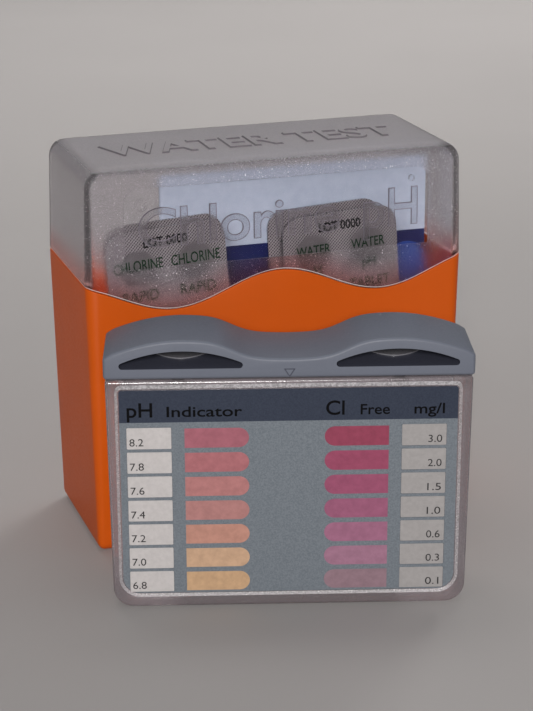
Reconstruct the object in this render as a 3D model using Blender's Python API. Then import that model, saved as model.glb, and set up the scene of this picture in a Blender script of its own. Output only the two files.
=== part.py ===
"""Pool water test kit: a two-part case, a colour comparator, a leaflet and tablet strips.

Metres, +Z up. The origin is on the table at the middle of the case's foot, and the case's
front faces -Y. The comparator stands on the same table in front of the case, turned about Z.
"""
import math

import bpy
from mathutils import Matrix, Vector

# Clearance left between pieces that touch or rest on each other.
GAP = 0.0003
# How far a cutter runs past the face that it opens.
CUTTER_REACH = 0.0010
# Edges that turn by more than this many degrees stay sharp.
SHARP_ANGLE = 32.0

# Case: a drafted orange base and a clear pull-off lid that meet along a wavy parting line.
CASE_WIDTH = 0.1160
CASE_DEPTH = 0.0504
CASE_HEIGHT = 0.1164
CORNER_RADIUS = 0.0035
INNER_CORNER_RADIUS = 0.0010
FOOT_RADIUS = 0.0030
FOOT_STEPS = 3
PARTING_MEAN = 0.0784
PARTING_SWING = 0.0044
PARTING_WAVELENGTH = 0.0640
BASE_DRAFT = math.radians(1.10)
LID_DRAFT = math.radians(1.55)
BASE_FLOOR = 0.0020
BASE_FLOOR_RADIUS = 0.0015
BASE_WALL = 0.0022
BASE_RIM_WALL = 0.0010
REBATE_HEIGHT = 0.0650
LID_TOP_WALL = 0.0019
LID_WALL = 0.0025
LID_SIDE_TOP_RADIUS = 0.0057
LID_FRONT_TOP_RADIUS = 0.0049
SKIRT_FOOT_WALL = 0.0021
PARTING_GAP = 0.00035

# Comparator: a clear block with three chambers, a printed scale and a sealing cap.
COMPARATOR_PLACE = Vector((-0.0109, -0.0633, 0.0))
COMPARATOR_TURN = math.radians(-16.64)
COMPARATOR_DEPTH = 0.0236
BODY_TOP_HALF_WIDTH = 0.0500
BODY_FOOT_HALF_WIDTH = 0.04925
BODY_HEIGHT = 0.0672
BODY_FOOT_RADIUS = 0.0057
BODY_TOP_RADIUS = 0.0010
EDGE_BEVEL = 0.0009
CELL_CENTRE = 0.0382
CELL_WIDTH = 0.0135
CHAMBER_DEPTH = 0.0168
BLANK_WIDTH = 0.0580
CHAMBER_RADIUS = 0.0020
CHAMBER_FLOOR = 0.0040
CARD_SHIFT = -0.0002
CARD_HALF_WIDTH = 0.0462
CARD_BOTTOM = 0.0042
CARD_TOP = 0.0644
CARD_FOOT_RADIUS = 0.0048
CARD_TOP_RADIUS = 0.0008
CARD_THICKNESS = 0.0003
RECESS_DEPTH = 0.0008
PANEL_THICKNESS = 0.0004

# Scale card windows: one column of seven openings over each measuring cell.
ROW_COUNT = 7
ROW_PITCH = 0.00713
FIRST_ROW_TOP = 0.0536
WINDOW_HEIGHT = 0.0063
WINDOW_WIDTH = 0.0123
WINDOW_RADIUS = 0.0003
WINDOW_CENTRES = (-0.0384, 0.0369)

# Cap: two humps with a crescent recess under each, and a seal for each chamber.
CAP_HALF_WIDTH = 0.0504
CAP_END_RADIUS = 0.0010
CAP_BOTTOM = BODY_HEIGHT + GAP
CAP_TROUGH = 0.0730
CAP_HUMP_RISE = 0.0056
CAP_HUMP_X = 0.0285
CAP_FLANK_X = 0.0155
CAP_FLANK_LENGTH = 0.0060
CAP_SHOULDER_FALL = 9.9
CAP_TOP_STEPS = 36
CRESCENT_CENTRE = 0.0294
CRESCENT_HALF_WIDTH = 0.0198
CRESCENT_END_RADIUS = 0.0009
CRESCENT_FLOOR = 0.0705
CRESCENT_RISE = 0.0050
CRESCENT_DEPTH = 0.0160
SEAL_HEIGHT = 0.0070

# Leaflet: a folded cover around its inner pages, standing across the middle of the case.
LEAFLET_LEFT = -0.0305
LEAFLET_RIGHT = 0.0538
LEAFLET_FRONT = -0.0047
LEAFLET_FOLD_RADIUS = 0.0011
COVER_THICKNESS = 0.0003
LEAFLET_BOTTOM = 0.0036
LEAFLET_TOP = 0.1090
PAGES_INSET = 0.0017
PAGES_RADIUS = 0.0002

# Tablet strips: foil in front, and a web of pockets with one tablet in each behind it.
STRIP_WIDTH = 0.0358
STRIP_LENGTH = 0.0940
STRIP_RADIUS = 0.0055
FOIL_THICKNESS = 0.0002
WEB_THICKNESS = 0.0003
POCKET_ROWS = 5
POCKET_COLUMNS = 2
POCKET_PITCH_X = 0.0172
POCKET_PITCH_Z = 0.0178
POCKET_RADIUS = 0.0056
POCKET_DEPTH = 0.0042
TABLET_RADIUS = 0.0040
TABLET_THICKNESS = 0.0030
ROUND_SEGMENTS = 12
# Name, centre x, front face y, centre z and tilt of each strip.
STRIPS = (
    ("chlorine_strip_1", -0.0305, -0.0205, 0.0509, 4.1),
    ("chlorine_strip_2", -0.0297, -0.0143, 0.0512, 3.6),
    ("ph_strip_1", 0.0227, -0.0205, 0.0507, 3.8),
    ("ph_strip_2", 0.0197, -0.0143, 0.0516, 3.2),
)

# Turns a loft built along +Z so that it runs along -Y, with its outline upright in XZ.
UPRIGHT = Matrix.Rotation(math.radians(90), 4, "X")


def clear_scene():
    """Remove every object that the file opened with."""
    for obj in list(bpy.data.objects):
        bpy.data.objects.remove(obj, do_unlink=True)


def material(name, colour, roughness, metallic=0.0, alpha=1.0):
    """A Principled material with one colour."""
    made = bpy.data.materials.new(name)
    made.use_nodes = True
    shader = made.node_tree.nodes["Principled BSDF"]
    shader.inputs["Base Color"].default_value = (*colour, 1.0)
    shader.inputs["Roughness"].default_value = roughness
    shader.inputs["Metallic"].default_value = metallic
    shader.inputs["Alpha"].default_value = alpha
    made.diffuse_color = (*colour, alpha)
    return made


def empty(name, location=(0, 0, 0), rotation=(0, 0, 0)):
    """An empty that carries the pieces of one moving body."""
    carrier = bpy.data.objects.new(name, None)
    carrier.location = location
    carrier.rotation_euler = rotation
    carrier.empty_display_size = 0.01
    bpy.context.collection.objects.link(carrier)
    return carrier


def add_object(name, mesh, surface, parent=None, location=(0, 0, 0)):
    """Link one named object with its own material."""
    obj = bpy.data.objects.new(name, mesh)
    obj.location = location
    bpy.context.collection.objects.link(obj)
    if surface is not None and not mesh.materials:
        mesh.materials.append(surface)
    obj.parent = parent
    return obj


def loft_mesh(name, rings, matrix=None):
    """Join equal rings into one closed skin, capped at its first and last ring."""
    count = len(rings[0])
    points = [Vector(point) for ring in rings for point in ring]
    faces = [tuple(reversed(range(count)))]
    for level in range(len(rings) - 1):
        low = level * count
        high = low + count
        for index in range(count):
            after = (index + 1) % count
            faces.append((low + index, low + after, high + after, high + index))
    last = (len(rings) - 1) * count
    faces.append(tuple(range(last, last + count)))
    mesh = bpy.data.meshes.new(name)
    mesh.from_pydata(points, [], faces)
    if matrix is not None:
        mesh.transform(matrix)
    mesh.shade_smooth()
    mesh.set_sharp_from_angle(angle=math.radians(SHARP_ANGLE))
    return mesh


def join_meshes(name, meshes):
    """One mesh that holds several separate closed skins, for a cutter."""
    points = []
    faces = []
    for mesh in meshes:
        start = len(points)
        points.extend(vertex.co.copy() for vertex in mesh.vertices)
        faces.extend(tuple(start + index for index in face.vertices) for face in mesh.polygons)
    joined = bpy.data.meshes.new(name)
    joined.from_pydata(points, [], faces)
    return joined


def arc(centre, radius, start, end, steps):
    """Points on an arc, angles in degrees, both ends included."""
    turn = [math.radians(start + (end - start) * step / steps) for step in range(steps + 1)]
    return [(centre[0] + radius * math.cos(a), centre[1] + radius * math.sin(a)) for a in turn]


def between(start, end, steps):
    """Points that divide a straight side, both ends left out."""
    shares = [step / steps for step in range(1, steps)]
    return [(start[0] + (end[0] - start[0]) * s, start[1] + (end[1] - start[1]) * s) for s in shares]


def rounded_rectangle(half_x, half_y, radius, corner_steps=4, x_steps=1, y_steps=1):
    """A counter-clockwise rounded rectangle that starts along its -Y side."""
    in_x = half_x - radius
    in_y = half_y - radius
    points = between((-in_x, -half_y), (in_x, -half_y), x_steps)
    points += arc((in_x, -in_y), radius, -90, 0, corner_steps)
    points += between((half_x, -in_y), (half_x, in_y), y_steps)
    points += arc((in_x, in_y), radius, 0, 90, corner_steps)
    points += between((in_x, half_y), (-in_x, half_y), x_steps)
    points += arc((-in_x, in_y), radius, 90, 180, corner_steps)
    points += between((-half_x, in_y), (-half_x, -in_y), y_steps)
    points += arc((-in_x, -in_y), radius, 180, 270, corner_steps)
    return points


def moved_in(points, distance):
    """The outline with each point moved inwards along its corner's normal."""
    inner = []
    for index, point in enumerate(points):
        before = Vector(points[index - 1])
        here = Vector(point)
        after = Vector(points[(index + 1) % len(points)])
        along = ((here - before).normalized() + (after - here).normalized()).normalized()
        inner.append((here.x - along.y * distance, here.y + along.x * distance))
    return inner


def at_height(points, height):
    """Lift a flat outline to one height."""
    return [(x, y, height) for x, y in points]


def prism_mesh(name, outline, low, high, matrix=None, bevel=0.0):
    """Extrude an outline from one height to another, with both end edges bevelled."""
    rings = [at_height(outline, low), at_height(outline, high)]
    if bevel > 0:
        inner = moved_in(outline, bevel)
        rings = [
            at_height(inner, low),
            at_height(outline, low + bevel),
            at_height(outline, high - bevel),
            at_height(inner, high),
        ]
    return loft_mesh(name, rings, matrix)


def slab_mesh(name, outline, front, back, bevel=0.0):
    """A prism that stands upright: its outline is in XZ and it runs from front y to back y."""
    return prism_mesh(name, outline, -back, -front, UPRIGHT, bevel)


def boolean(target, tool, operation):
    """Add an exact Boolean modifier, and hide the tool's own object."""
    step = target.modifiers.new(tool.name, "BOOLEAN")
    step.operation = operation
    step.solver = "EXACT"
    step.object = tool
    tool.hide_render = True
    tool.display_type = "WIRE"


def parting_height(x):
    """Height of the wavy line where the base and the lid meet."""
    return PARTING_MEAN + PARTING_SWING * math.cos(2 * math.pi * x / PARTING_WAVELENGTH)


SIDE_PARTING = parting_height(CASE_WIDTH / 2)


def draft_inset(height):
    """How far the case's outer face has moved in at a height: it tapers both ways."""
    draft = LID_DRAFT if height > SIDE_PARTING else BASE_DRAFT
    return abs(height - SIDE_PARTING) * math.tan(draft)


def case_outline(inset_x, inset_y):
    """The case's plan outline, moved in from its widest place."""
    radius = max(CORNER_RADIUS - max(inset_x, inset_y), INNER_CORNER_RADIUS)
    return rounded_rectangle(
        CASE_WIDTH / 2 - inset_x, CASE_DEPTH / 2 - inset_y, radius, x_steps=24, y_steps=2
    )


def case_ring(inset_x, inset_y, height):
    """One loop of the case's wall. height is a function of the loop's place at the parting."""
    ring = []
    for index, (x, y) in enumerate(case_outline(0.0, 0.0)):
        z = height(x, y)
        draft = draft_inset(z)
        place = case_outline(inset_x + draft, inset_y + draft)[index]
        ring.append((*place, z))
    return ring


def flat_ring(inset, height):
    """A level loop of the case's wall."""
    return case_ring(inset, inset, lambda x, y: height)


def wavy_ring(inset, lift=0.0):
    """A loop of the case's wall that follows the parting line."""
    return case_ring(inset, inset, lambda x, y: parting_height(x) + lift)


def dome_rings(side_radius, front_radius, wall, top, steps):
    """Loops that round the lid's top edge, from its walls up to its flat top."""

    def side_share(x, y):
        across = max(abs(x) - (CASE_WIDTH / 2 - CORNER_RADIUS), 0.0)
        along = max(abs(y) - (CASE_DEPTH / 2 - CORNER_RADIUS), 0.0)
        if across + along == 0:
            return 0.0
        return across / math.hypot(across, along)

    rings = []
    for step in range(steps + 1):
        turn = math.radians(90) * step / steps
        inward = 1 - math.cos(turn)
        drop = 1 - math.sin(turn)

        def height(x, y, drop=drop):
            share = side_share(x, y)
            radius = math.hypot(side_radius * share, front_radius * math.sqrt(1 - share**2))
            return top - radius * drop

        rings.append(case_ring(wall + side_radius * inward, wall + front_radius * inward, height))
    return rings


def make_case_base(surface):
    """The orange base: one open box with a rebated rim that the lid's skirt drops into."""
    rings = []
    for step in range(FOOT_STEPS + 1):
        turn = math.radians(90 * step / FOOT_STEPS)
        rings.append(flat_ring(FOOT_RADIUS * (1 - math.sin(turn)), FOOT_RADIUS * (1 - math.cos(turn))))
    rings.append(wavy_ring(0.0))
    rings.append(wavy_ring(BASE_RIM_WALL))
    rings.append(flat_ring(BASE_RIM_WALL, REBATE_HEIGHT))
    rings.append(flat_ring(BASE_WALL, REBATE_HEIGHT))
    for degrees in (0, 45, 90):
        turn = math.radians(degrees)
        inset = BASE_WALL + BASE_FLOOR_RADIUS * (1 - math.cos(turn))
        rings.append(flat_ring(inset, BASE_FLOOR + BASE_FLOOR_RADIUS * (1 - math.sin(turn))))
    return add_object("case_base", loft_mesh("case_base", rings), surface)


def make_case_lid(surface):
    """The clear lid: a cover with a skirt that plugs into the base."""
    inner_side = LID_SIDE_TOP_RADIUS - LID_TOP_WALL
    inner_front = LID_FRONT_TOP_RADIUS - LID_TOP_WALL
    ceiling = CASE_HEIGHT - LID_TOP_WALL
    rings = list(reversed(dome_rings(inner_side, inner_front, LID_TOP_WALL, ceiling, 3)))
    rings.append(flat_ring(LID_WALL, SIDE_PARTING))
    rings.append(flat_ring(SKIRT_FOOT_WALL, REBATE_HEIGHT + GAP))
    rings.append(flat_ring(BASE_RIM_WALL + GAP, REBATE_HEIGHT + GAP))
    rings.append(wavy_ring(BASE_RIM_WALL + GAP, PARTING_GAP))
    rings.append(wavy_ring(0.0, PARTING_GAP))
    rings += dome_rings(LID_SIDE_TOP_RADIUS, LID_FRONT_TOP_RADIUS, 0.0, CASE_HEIGHT, 4)
    carrier = empty("lid_carrier")
    return add_object("case_lid", loft_mesh("case_lid", rings), surface, carrier)


def panel_outline(low_half, high_half, low, high, low_radius, high_radius, steps=4):
    """An upright panel's outline in XZ: rounded corners, and sides that may lean."""
    points = arc((low_half - low_radius, low + low_radius), low_radius, -90, 0, steps)
    points += arc((high_half - high_radius, high - high_radius), high_radius, 0, 90, steps)
    points += [(-x, z) for x, z in reversed(points)]
    return points


def card_outline(margin):
    """The printed card's outline, grown by a margin."""
    points = panel_outline(
        CARD_HALF_WIDTH + margin,
        CARD_HALF_WIDTH + margin,
        CARD_BOTTOM - margin,
        CARD_TOP + margin,
        CARD_FOOT_RADIUS + margin,
        CARD_TOP_RADIUS + margin,
    )
    return [(x + CARD_SHIFT, z) for x, z in points]


def chamber_mesh(name, centre, width, depth, low, high):
    """An upright rounded block: a chamber's space, or the seal that closes it."""
    outline = rounded_rectangle(width / 2, depth / 2, CHAMBER_RADIUS, corner_steps=3)
    outline = [(x + centre, y) for x, y in outline]
    return prism_mesh(name, outline, low, high)


def chambers():
    """Name, centre and width of the two measuring cells and the blank chamber between them."""
    return (
        ("left", -CELL_CENTRE, CELL_WIDTH),
        ("centre", 0.0, BLANK_WIDTH),
        ("right", CELL_CENTRE, CELL_WIDTH),
    )


def make_comparator_body(surface, carrier):
    """The clear block: three open chambers, and a shallow recess on its front and back."""
    half_depth = COMPARATOR_DEPTH / 2
    outline = panel_outline(
        BODY_FOOT_HALF_WIDTH, BODY_TOP_HALF_WIDTH, 0.0, BODY_HEIGHT, BODY_FOOT_RADIUS, BODY_TOP_RADIUS
    )
    mesh = slab_mesh("comparator_body", outline, -half_depth, half_depth, EDGE_BEVEL)
    body = add_object("comparator_body", mesh, surface, carrier)
    mouth = BODY_HEIGHT + CUTTER_REACH
    spaces = [
        chamber_mesh("chamber", centre, width, CHAMBER_DEPTH, CHAMBER_FLOOR, mouth)
        for _, centre, width in chambers()
    ]
    card = card_outline(GAP)
    spaces.append(slab_mesh("front_recess", card, -half_depth - CUTTER_REACH, RECESS_DEPTH - half_depth))
    spaces.append(slab_mesh("back_recess", card, half_depth - RECESS_DEPTH, half_depth + CUTTER_REACH))
    cutter = add_object("comparator_spaces", join_meshes("comparator_spaces", spaces), None, carrier)
    boolean(body, cutter, "DIFFERENCE")


def make_scale_card(surface, carrier):
    """The printed card in the front recess, with a window for each row of each cell."""
    front = RECESS_DEPTH - COMPARATOR_DEPTH / 2 - GAP - CARD_THICKNESS
    mesh = slab_mesh("scale_card", card_outline(0.0), front, front + CARD_THICKNESS)
    card = add_object("scale_card", mesh, surface, carrier)
    back = front + CARD_THICKNESS + CUTTER_REACH
    windows = []
    for centre in WINDOW_CENTRES:
        for row in range(ROW_COUNT):
            middle = FIRST_ROW_TOP - WINDOW_HEIGHT / 2 - row * ROW_PITCH
            outline = rounded_rectangle(WINDOW_WIDTH / 2, WINDOW_HEIGHT / 2, WINDOW_RADIUS, corner_steps=1)
            outline = [(x + centre, z + middle) for x, z in outline]
            windows.append(slab_mesh("window", outline, front - CUTTER_REACH, back))
    cutter = add_object("card_windows", join_meshes("card_windows", windows), None, carrier)
    boolean(card, cutter, "DIFFERENCE")


def make_rear_panel(surface, carrier):
    """The white diffuser in the back recess."""
    front = COMPARATOR_DEPTH / 2 - RECESS_DEPTH + GAP
    mesh = slab_mesh("rear_diffuser", card_outline(0.0), front, front + PANEL_THICKNESS)
    add_object("rear_diffuser", mesh, surface, carrier)


def cap_top(x):
    """Height of the cap's wavy top: a trough in the middle and a hump at each side."""
    away = abs(x)
    climb = 0.5 * (1 + math.tanh((away - CAP_FLANK_X) / CAP_FLANK_LENGTH))
    fall = CAP_SHOULDER_FALL * max(away - CAP_HUMP_X, 0.0) ** 2
    return CAP_TROUGH + CAP_HUMP_RISE * climb - fall


def cap_outline():
    """The cap's front outline: flat foot, upright ends and the wavy top."""
    radius = CAP_END_RADIUS
    low = CAP_BOTTOM
    half = CAP_HALF_WIDTH
    points = arc((half - radius, low + radius), radius, -90, 0, 2)
    shoulder = cap_top(half)
    points += arc((half - radius, shoulder - radius), radius, 0, 60, 2)
    reach = half - 2 * radius
    for step in range(CAP_TOP_STEPS + 1):
        x = reach * (1 - 2 * step / CAP_TOP_STEPS)
        points.append((x, cap_top(x)))
    points += arc((radius - half, shoulder - radius), radius, 120, 180, 2)
    points += arc((radius - half, low + radius), radius, 180, 270, 2)
    return points


def crescent_outline(side):
    """One crescent recess: a flat floor under a shallow arch, with rounded ends."""
    radius = (CRESCENT_HALF_WIDTH**2 + CRESCENT_RISE**2) / (2 * CRESCENT_RISE)
    end = CRESCENT_END_RADIUS
    middle = CRESCENT_FLOOR + CRESCENT_RISE - radius
    low = CRESCENT_FLOOR + end
    half = math.sqrt((radius - end) ** 2 - (low - middle) ** 2)
    spread = math.degrees(math.atan2(half, low - middle))
    points = arc((half, low), end, -90, 90 - spread, 3)
    points += arc((0.0, middle), radius, 90 - spread, 90 + spread, 12)[1:-1]
    points += arc((-half, low), end, 90 + spread, 270, 3)
    return [(x + side * CRESCENT_CENTRE, z) for x, z in points]


def make_cap(surface, rubber, carrier):
    """The sealing cap, and the three rubber seals that plug the chambers."""
    half_depth = COMPARATOR_DEPTH / 2
    mesh = slab_mesh("comparator_cap", cap_outline(), -half_depth, half_depth, EDGE_BEVEL)
    cap = add_object("comparator_cap", mesh, surface, carrier)
    front = -half_depth - CUTTER_REACH
    slots = [
        slab_mesh("crescent", crescent_outline(side), front, CRESCENT_DEPTH - half_depth)
        for side in (-1, 1)
    ]
    cutter = add_object("crescents", join_meshes("crescents", slots), None, carrier)
    boolean(cap, cutter, "DIFFERENCE")
    top = CAP_BOTTOM - GAP
    for name, centre, width in chambers():
        seal = f"seal_{name}"
        mesh = chamber_mesh(
            seal, centre, width - 2 * GAP, CHAMBER_DEPTH - 2 * GAP, top - SEAL_HEIGHT, top
        )
        add_object(seal, mesh, rubber, carrier)


def make_comparator(surfaces):
    """The comparator and its cap, each on its own carrier."""
    turn = (0.0, 0.0, COMPARATOR_TURN)
    carrier = empty("comparator_carrier", COMPARATOR_PLACE, turn)
    make_comparator_body(surfaces["comparator_clear"], carrier)
    make_scale_card(surfaces["scale_print"], carrier)
    make_rear_panel(surfaces["diffuser_white"], carrier)
    cap_carrier = empty("cap_carrier", COMPARATOR_PLACE, turn)
    make_cap(surfaces["cap_grey"], surfaces["seal_rubber"], cap_carrier)


def make_leaflet(paper):
    """A folded cover with its fold on the left, and the inner pages inside it."""
    radius = LEAFLET_FOLD_RADIUS
    middle = LEAFLET_FRONT + radius
    fold = LEAFLET_LEFT + radius
    outer = [(LEAFLET_RIGHT, middle + radius), *arc((fold, middle), radius, 90, 270, 6)]
    outer.append((LEAFLET_RIGHT, middle - radius))
    inside = radius - COVER_THICKNESS
    inner = [(LEAFLET_RIGHT, middle - inside), *arc((fold, middle), inside, 270, 90, 6)]
    inner.append((LEAFLET_RIGHT, middle + inside))
    carrier = empty("leaflet_carrier")
    cover = prism_mesh("leaflet_cover", outer + inner, LEAFLET_BOTTOM, LEAFLET_TOP)
    add_object("leaflet_cover", cover, paper, carrier)
    half_width = (LEAFLET_RIGHT - LEAFLET_LEFT - PAGES_INSET - GAP) / 2
    centre = LEAFLET_RIGHT - GAP - half_width
    outline = rounded_rectangle(half_width, inside - GAP, PAGES_RADIUS, corner_steps=1)
    outline = [(x + centre, y + middle) for x, y in outline]
    pages = prism_mesh("leaflet_pages", outline, LEAFLET_BOTTOM, LEAFLET_TOP - GAP)
    add_object("leaflet_pages", pages, paper, carrier)


def strip_outline():
    """The strip's front outline about its own centre."""
    return rounded_rectangle(STRIP_WIDTH / 2, STRIP_LENGTH / 2, STRIP_RADIUS, corner_steps=3)


def pocket_centres():
    """Centres of the strip's pockets, row by row from the top."""
    centres = []
    for row in range(POCKET_ROWS):
        for column in range(POCKET_COLUMNS):
            x = (column - (POCKET_COLUMNS - 1) / 2) * POCKET_PITCH_X
            z = ((POCKET_ROWS - 1) / 2 - row) * POCKET_PITCH_Z
            centres.append((x, z))
    return centres


def disc_meshes(radius, front, back):
    """One upright disc at each pocket."""
    outline = arc((0.0, 0.0), radius, 0, 360, ROUND_SEGMENTS)[:-1]
    return [
        slab_mesh("disc", [(x + cx, z + cz) for x, z in outline], front, back)
        for cx, cz in pocket_centres()
    ]


def make_web_mesh(surface):
    """The web of pockets behind a foil, worked out once and shared by every strip."""
    front = FOIL_THICKNESS + GAP
    back = front + WEB_THICKNESS
    web = add_object("web", slab_mesh("web", strip_outline(), front, back), surface)
    shells = disc_meshes(POCKET_RADIUS + WEB_THICKNESS, front + WEB_THICKNESS / 2, back + POCKET_DEPTH)
    domes = add_object("web_domes", join_meshes("web_domes", shells), None)
    boolean(web, domes, "UNION")
    hollows = disc_meshes(POCKET_RADIUS, front - CUTTER_REACH, front + POCKET_DEPTH)
    cutter = add_object("web_hollows", join_meshes("web_hollows", hollows), None)
    boolean(web, cutter, "DIFFERENCE")
    evaluated = web.evaluated_get(bpy.context.evaluated_depsgraph_get())
    mesh = bpy.data.meshes.new_from_object(evaluated)
    mesh.name = "strip_web"
    for helper in (web, domes, cutter):
        bpy.data.objects.remove(helper, do_unlink=True)
    return mesh


def make_strips(surfaces):
    """Four strips, each with its foil, its web and ten tablets on one carrier."""
    web = make_web_mesh(surfaces["strip_web"])
    foil = slab_mesh("strip_foil", strip_outline(), 0.0, FOIL_THICKNESS)
    front = FOIL_THICKNESS + 2 * GAP
    outline = arc((0.0, 0.0), TABLET_RADIUS, 0, 360, ROUND_SEGMENTS)[:-1]
    tablet = slab_mesh("strip_tablet", outline, front, front + TABLET_THICKNESS)
    for name, x, y, z, tilt in STRIPS:
        carrier = empty(f"{name}_carrier", (x, y, z), (0.0, -math.radians(tilt), 0.0))
        add_object(f"{name}_foil", foil, surfaces["strip_foil"], carrier)
        add_object(f"{name}_web", web, surfaces["strip_web"], carrier)
        for number, (cx, cz) in enumerate(pocket_centres(), start=1):
            place = (cx, 0.0, cz)
            add_object(f"{name}_tablet_{number:02d}", tablet, surfaces["tablet"], carrier, place)


def make_surfaces():
    """Every material of the kit."""
    return {
        "base_orange": material("base_orange", (0.58, 0.09, 0.005), 0.45),
        "lid_clear": material("lid_clear", (0.72, 0.72, 0.74), 0.35, alpha=0.35),
        "comparator_clear": material("comparator_clear", (0.80, 0.78, 0.80), 0.12, alpha=0.35),
        "cap_grey": material("cap_grey", (0.18, 0.20, 0.22), 0.45),
        "seal_rubber": material("seal_rubber", (0.05, 0.05, 0.06), 0.70),
        "scale_print": material("scale_print", (0.14, 0.20, 0.23), 0.50),
        "diffuser_white": material("diffuser_white", (0.80, 0.80, 0.80), 0.50),
        "leaflet_paper": material("leaflet_paper", (0.55, 0.60, 0.72), 0.60),
        "strip_foil": material("strip_foil", (0.42, 0.41, 0.41), 0.35, metallic=1.0),
        "strip_web": material("strip_web", (0.60, 0.60, 0.60), 0.40),
        "tablet": material("tablet", (0.85, 0.84, 0.80), 0.80),
    }


def main():
    """Build the whole kit."""
    clear_scene()
    surfaces = make_surfaces()
    make_case_base(surfaces["base_orange"])
    make_case_lid(surfaces["lid_clear"])
    make_comparator(surfaces)
    make_leaflet(surfaces["leaflet_paper"])
    make_strips(surfaces)


main()
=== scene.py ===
"""Looks of the pool water test kit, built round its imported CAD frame.

Metres, +Z up, in the CAD model's own frame: the case stands at the origin with its front
towards -Y, and the comparator stands in front of it, turned about Z.
"""
import math

import bmesh
import bpy
from mathutils import Matrix, Vector, noise
from mathutils.geometry import interpolate_bezier


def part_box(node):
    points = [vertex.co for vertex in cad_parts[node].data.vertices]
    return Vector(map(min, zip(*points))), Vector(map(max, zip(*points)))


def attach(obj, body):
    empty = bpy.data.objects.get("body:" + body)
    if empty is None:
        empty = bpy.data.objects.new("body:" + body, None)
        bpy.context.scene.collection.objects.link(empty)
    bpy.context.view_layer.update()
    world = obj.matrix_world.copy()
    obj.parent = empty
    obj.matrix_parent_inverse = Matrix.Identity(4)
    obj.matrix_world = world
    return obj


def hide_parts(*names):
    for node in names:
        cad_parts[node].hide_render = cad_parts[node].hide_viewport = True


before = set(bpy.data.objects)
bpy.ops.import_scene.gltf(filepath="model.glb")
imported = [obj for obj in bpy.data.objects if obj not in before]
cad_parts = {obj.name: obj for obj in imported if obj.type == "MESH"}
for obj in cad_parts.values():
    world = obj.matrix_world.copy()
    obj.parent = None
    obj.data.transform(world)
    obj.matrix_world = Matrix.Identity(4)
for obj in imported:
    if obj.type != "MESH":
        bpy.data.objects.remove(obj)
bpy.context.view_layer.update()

# Clearance that the CAD model keeps between pieces that touch, and how far a cutter runs past a face.
GAP = 0.0003
PAST = 0.0010
SMOOTH_ANGLE = math.radians(32)
WELD_DISTANCE = 1e-5

# Case, from the frame's own boxes, with the wavy parting line between the base and the lid.
BASE_LOW, BASE_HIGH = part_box("case_base")
LID_LOW, LID_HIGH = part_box("case_lid")
CASE_WIDTH = BASE_HIGH.x - BASE_LOW.x
CASE_DEPTH = BASE_HIGH.y - BASE_LOW.y
CASE_HEIGHT = LID_HIGH.z
CORNER_RADIUS = 0.0035
INNER_CORNER_RADIUS = 0.0010
FOOT_RADIUS = 0.0030
PARTING_SWING = 0.0044
PARTING_MEAN = BASE_HIGH.z - PARTING_SWING
PARTING_WAVELENGTH = 0.0640
PARTING_GAP = 0.00035
BASE_DRAFT = math.radians(1.10)
LID_DRAFT = math.radians(1.55)
BASE_FLOOR = 0.0020
BASE_FLOOR_RADIUS = 0.0015
BASE_WALL = 0.0022
RIM_WALL = 0.0010
RIM_RADIUS = 0.00030
REBATE_HEIGHT = LID_LOW.z - GAP
LID_TOP_WALL = 0.0019
LID_WALL = 0.0025
LID_SIDE_TOP_RADIUS = 0.0057
LID_FRONT_TOP_RADIUS = 0.0049
LID_EDGE_RADIUS = 0.00025
SKIRT_FOOT_WALL = 0.0021

# Polished window sunk in the lid's front, and the letters left standing in it and on top.
WINDOW_HALF_WIDTH = 0.0465
WINDOW_FOOT = 0.0869
WINDOW_HEAD = 0.1103
WINDOW_RADIUS = 0.0042
WINDOW_SINK = 0.00035
LETTER_SINK = 0.00002
LETTER_BASE = 0.0932
LETTER_HEIGHT = 0.0109
CHLORINE_SPAN = (-0.0420, 0.0182)
PH_SPAN = (0.0264, 0.0429)
TOP_LETTER_SPAN = (-0.0460, 0.0433)
TOP_LETTER_HEIGHT = 0.0126
TOP_LETTER_BASE = -0.0086
TOP_LETTER_RISE = 0.00045
# Ring marks: x, z, radius and line width.
RING_MARKS = ((0.0412, 0.1069, 0.0010, 0.0003), (-0.0414, 0.1056, 0.0019, 0.0005))
# Stroke weights in the font's own units, and how far the outline's step lies below the face.
FACE_WEIGHT = 0.006
OUTLINE_WEIGHT = 0.020
OUTLINE_STEP = 0.00015
LETTER_STEPS = 6
# Letters' outlines, in the font's units: what counts as bent, how far a convex and a concave corner may
# be drawn out, and how much of a step must stay clear of the old outline.
BENT_LIMIT = 1e-4
CONVEX_LIMIT = 0.50
CONCAVE_LIMIT = 0.02
CLEAR_SHARE = 0.9
# How far the orange rim's painted glow reaches up the lid, and how the lid's flat top is hazier and duller.
PAINTED_GLOW_HEIGHT = 0.0090
TOP_HAZE_DEPTH = 0.0012
TOP_DULLNESS = 1.7
# The lid's materials, in the order of their slots. The letters' sides and the window's walls are dark with
# painted shade, and the rim is whitish with a painted highlight.
FROSTED, POLISHED, LETTER_FACES, SHADED_LETTER_SIDES, HIGHLIT_LID_RIM, SHADED_TOP_LETTER_SIDES = range(6)

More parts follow.
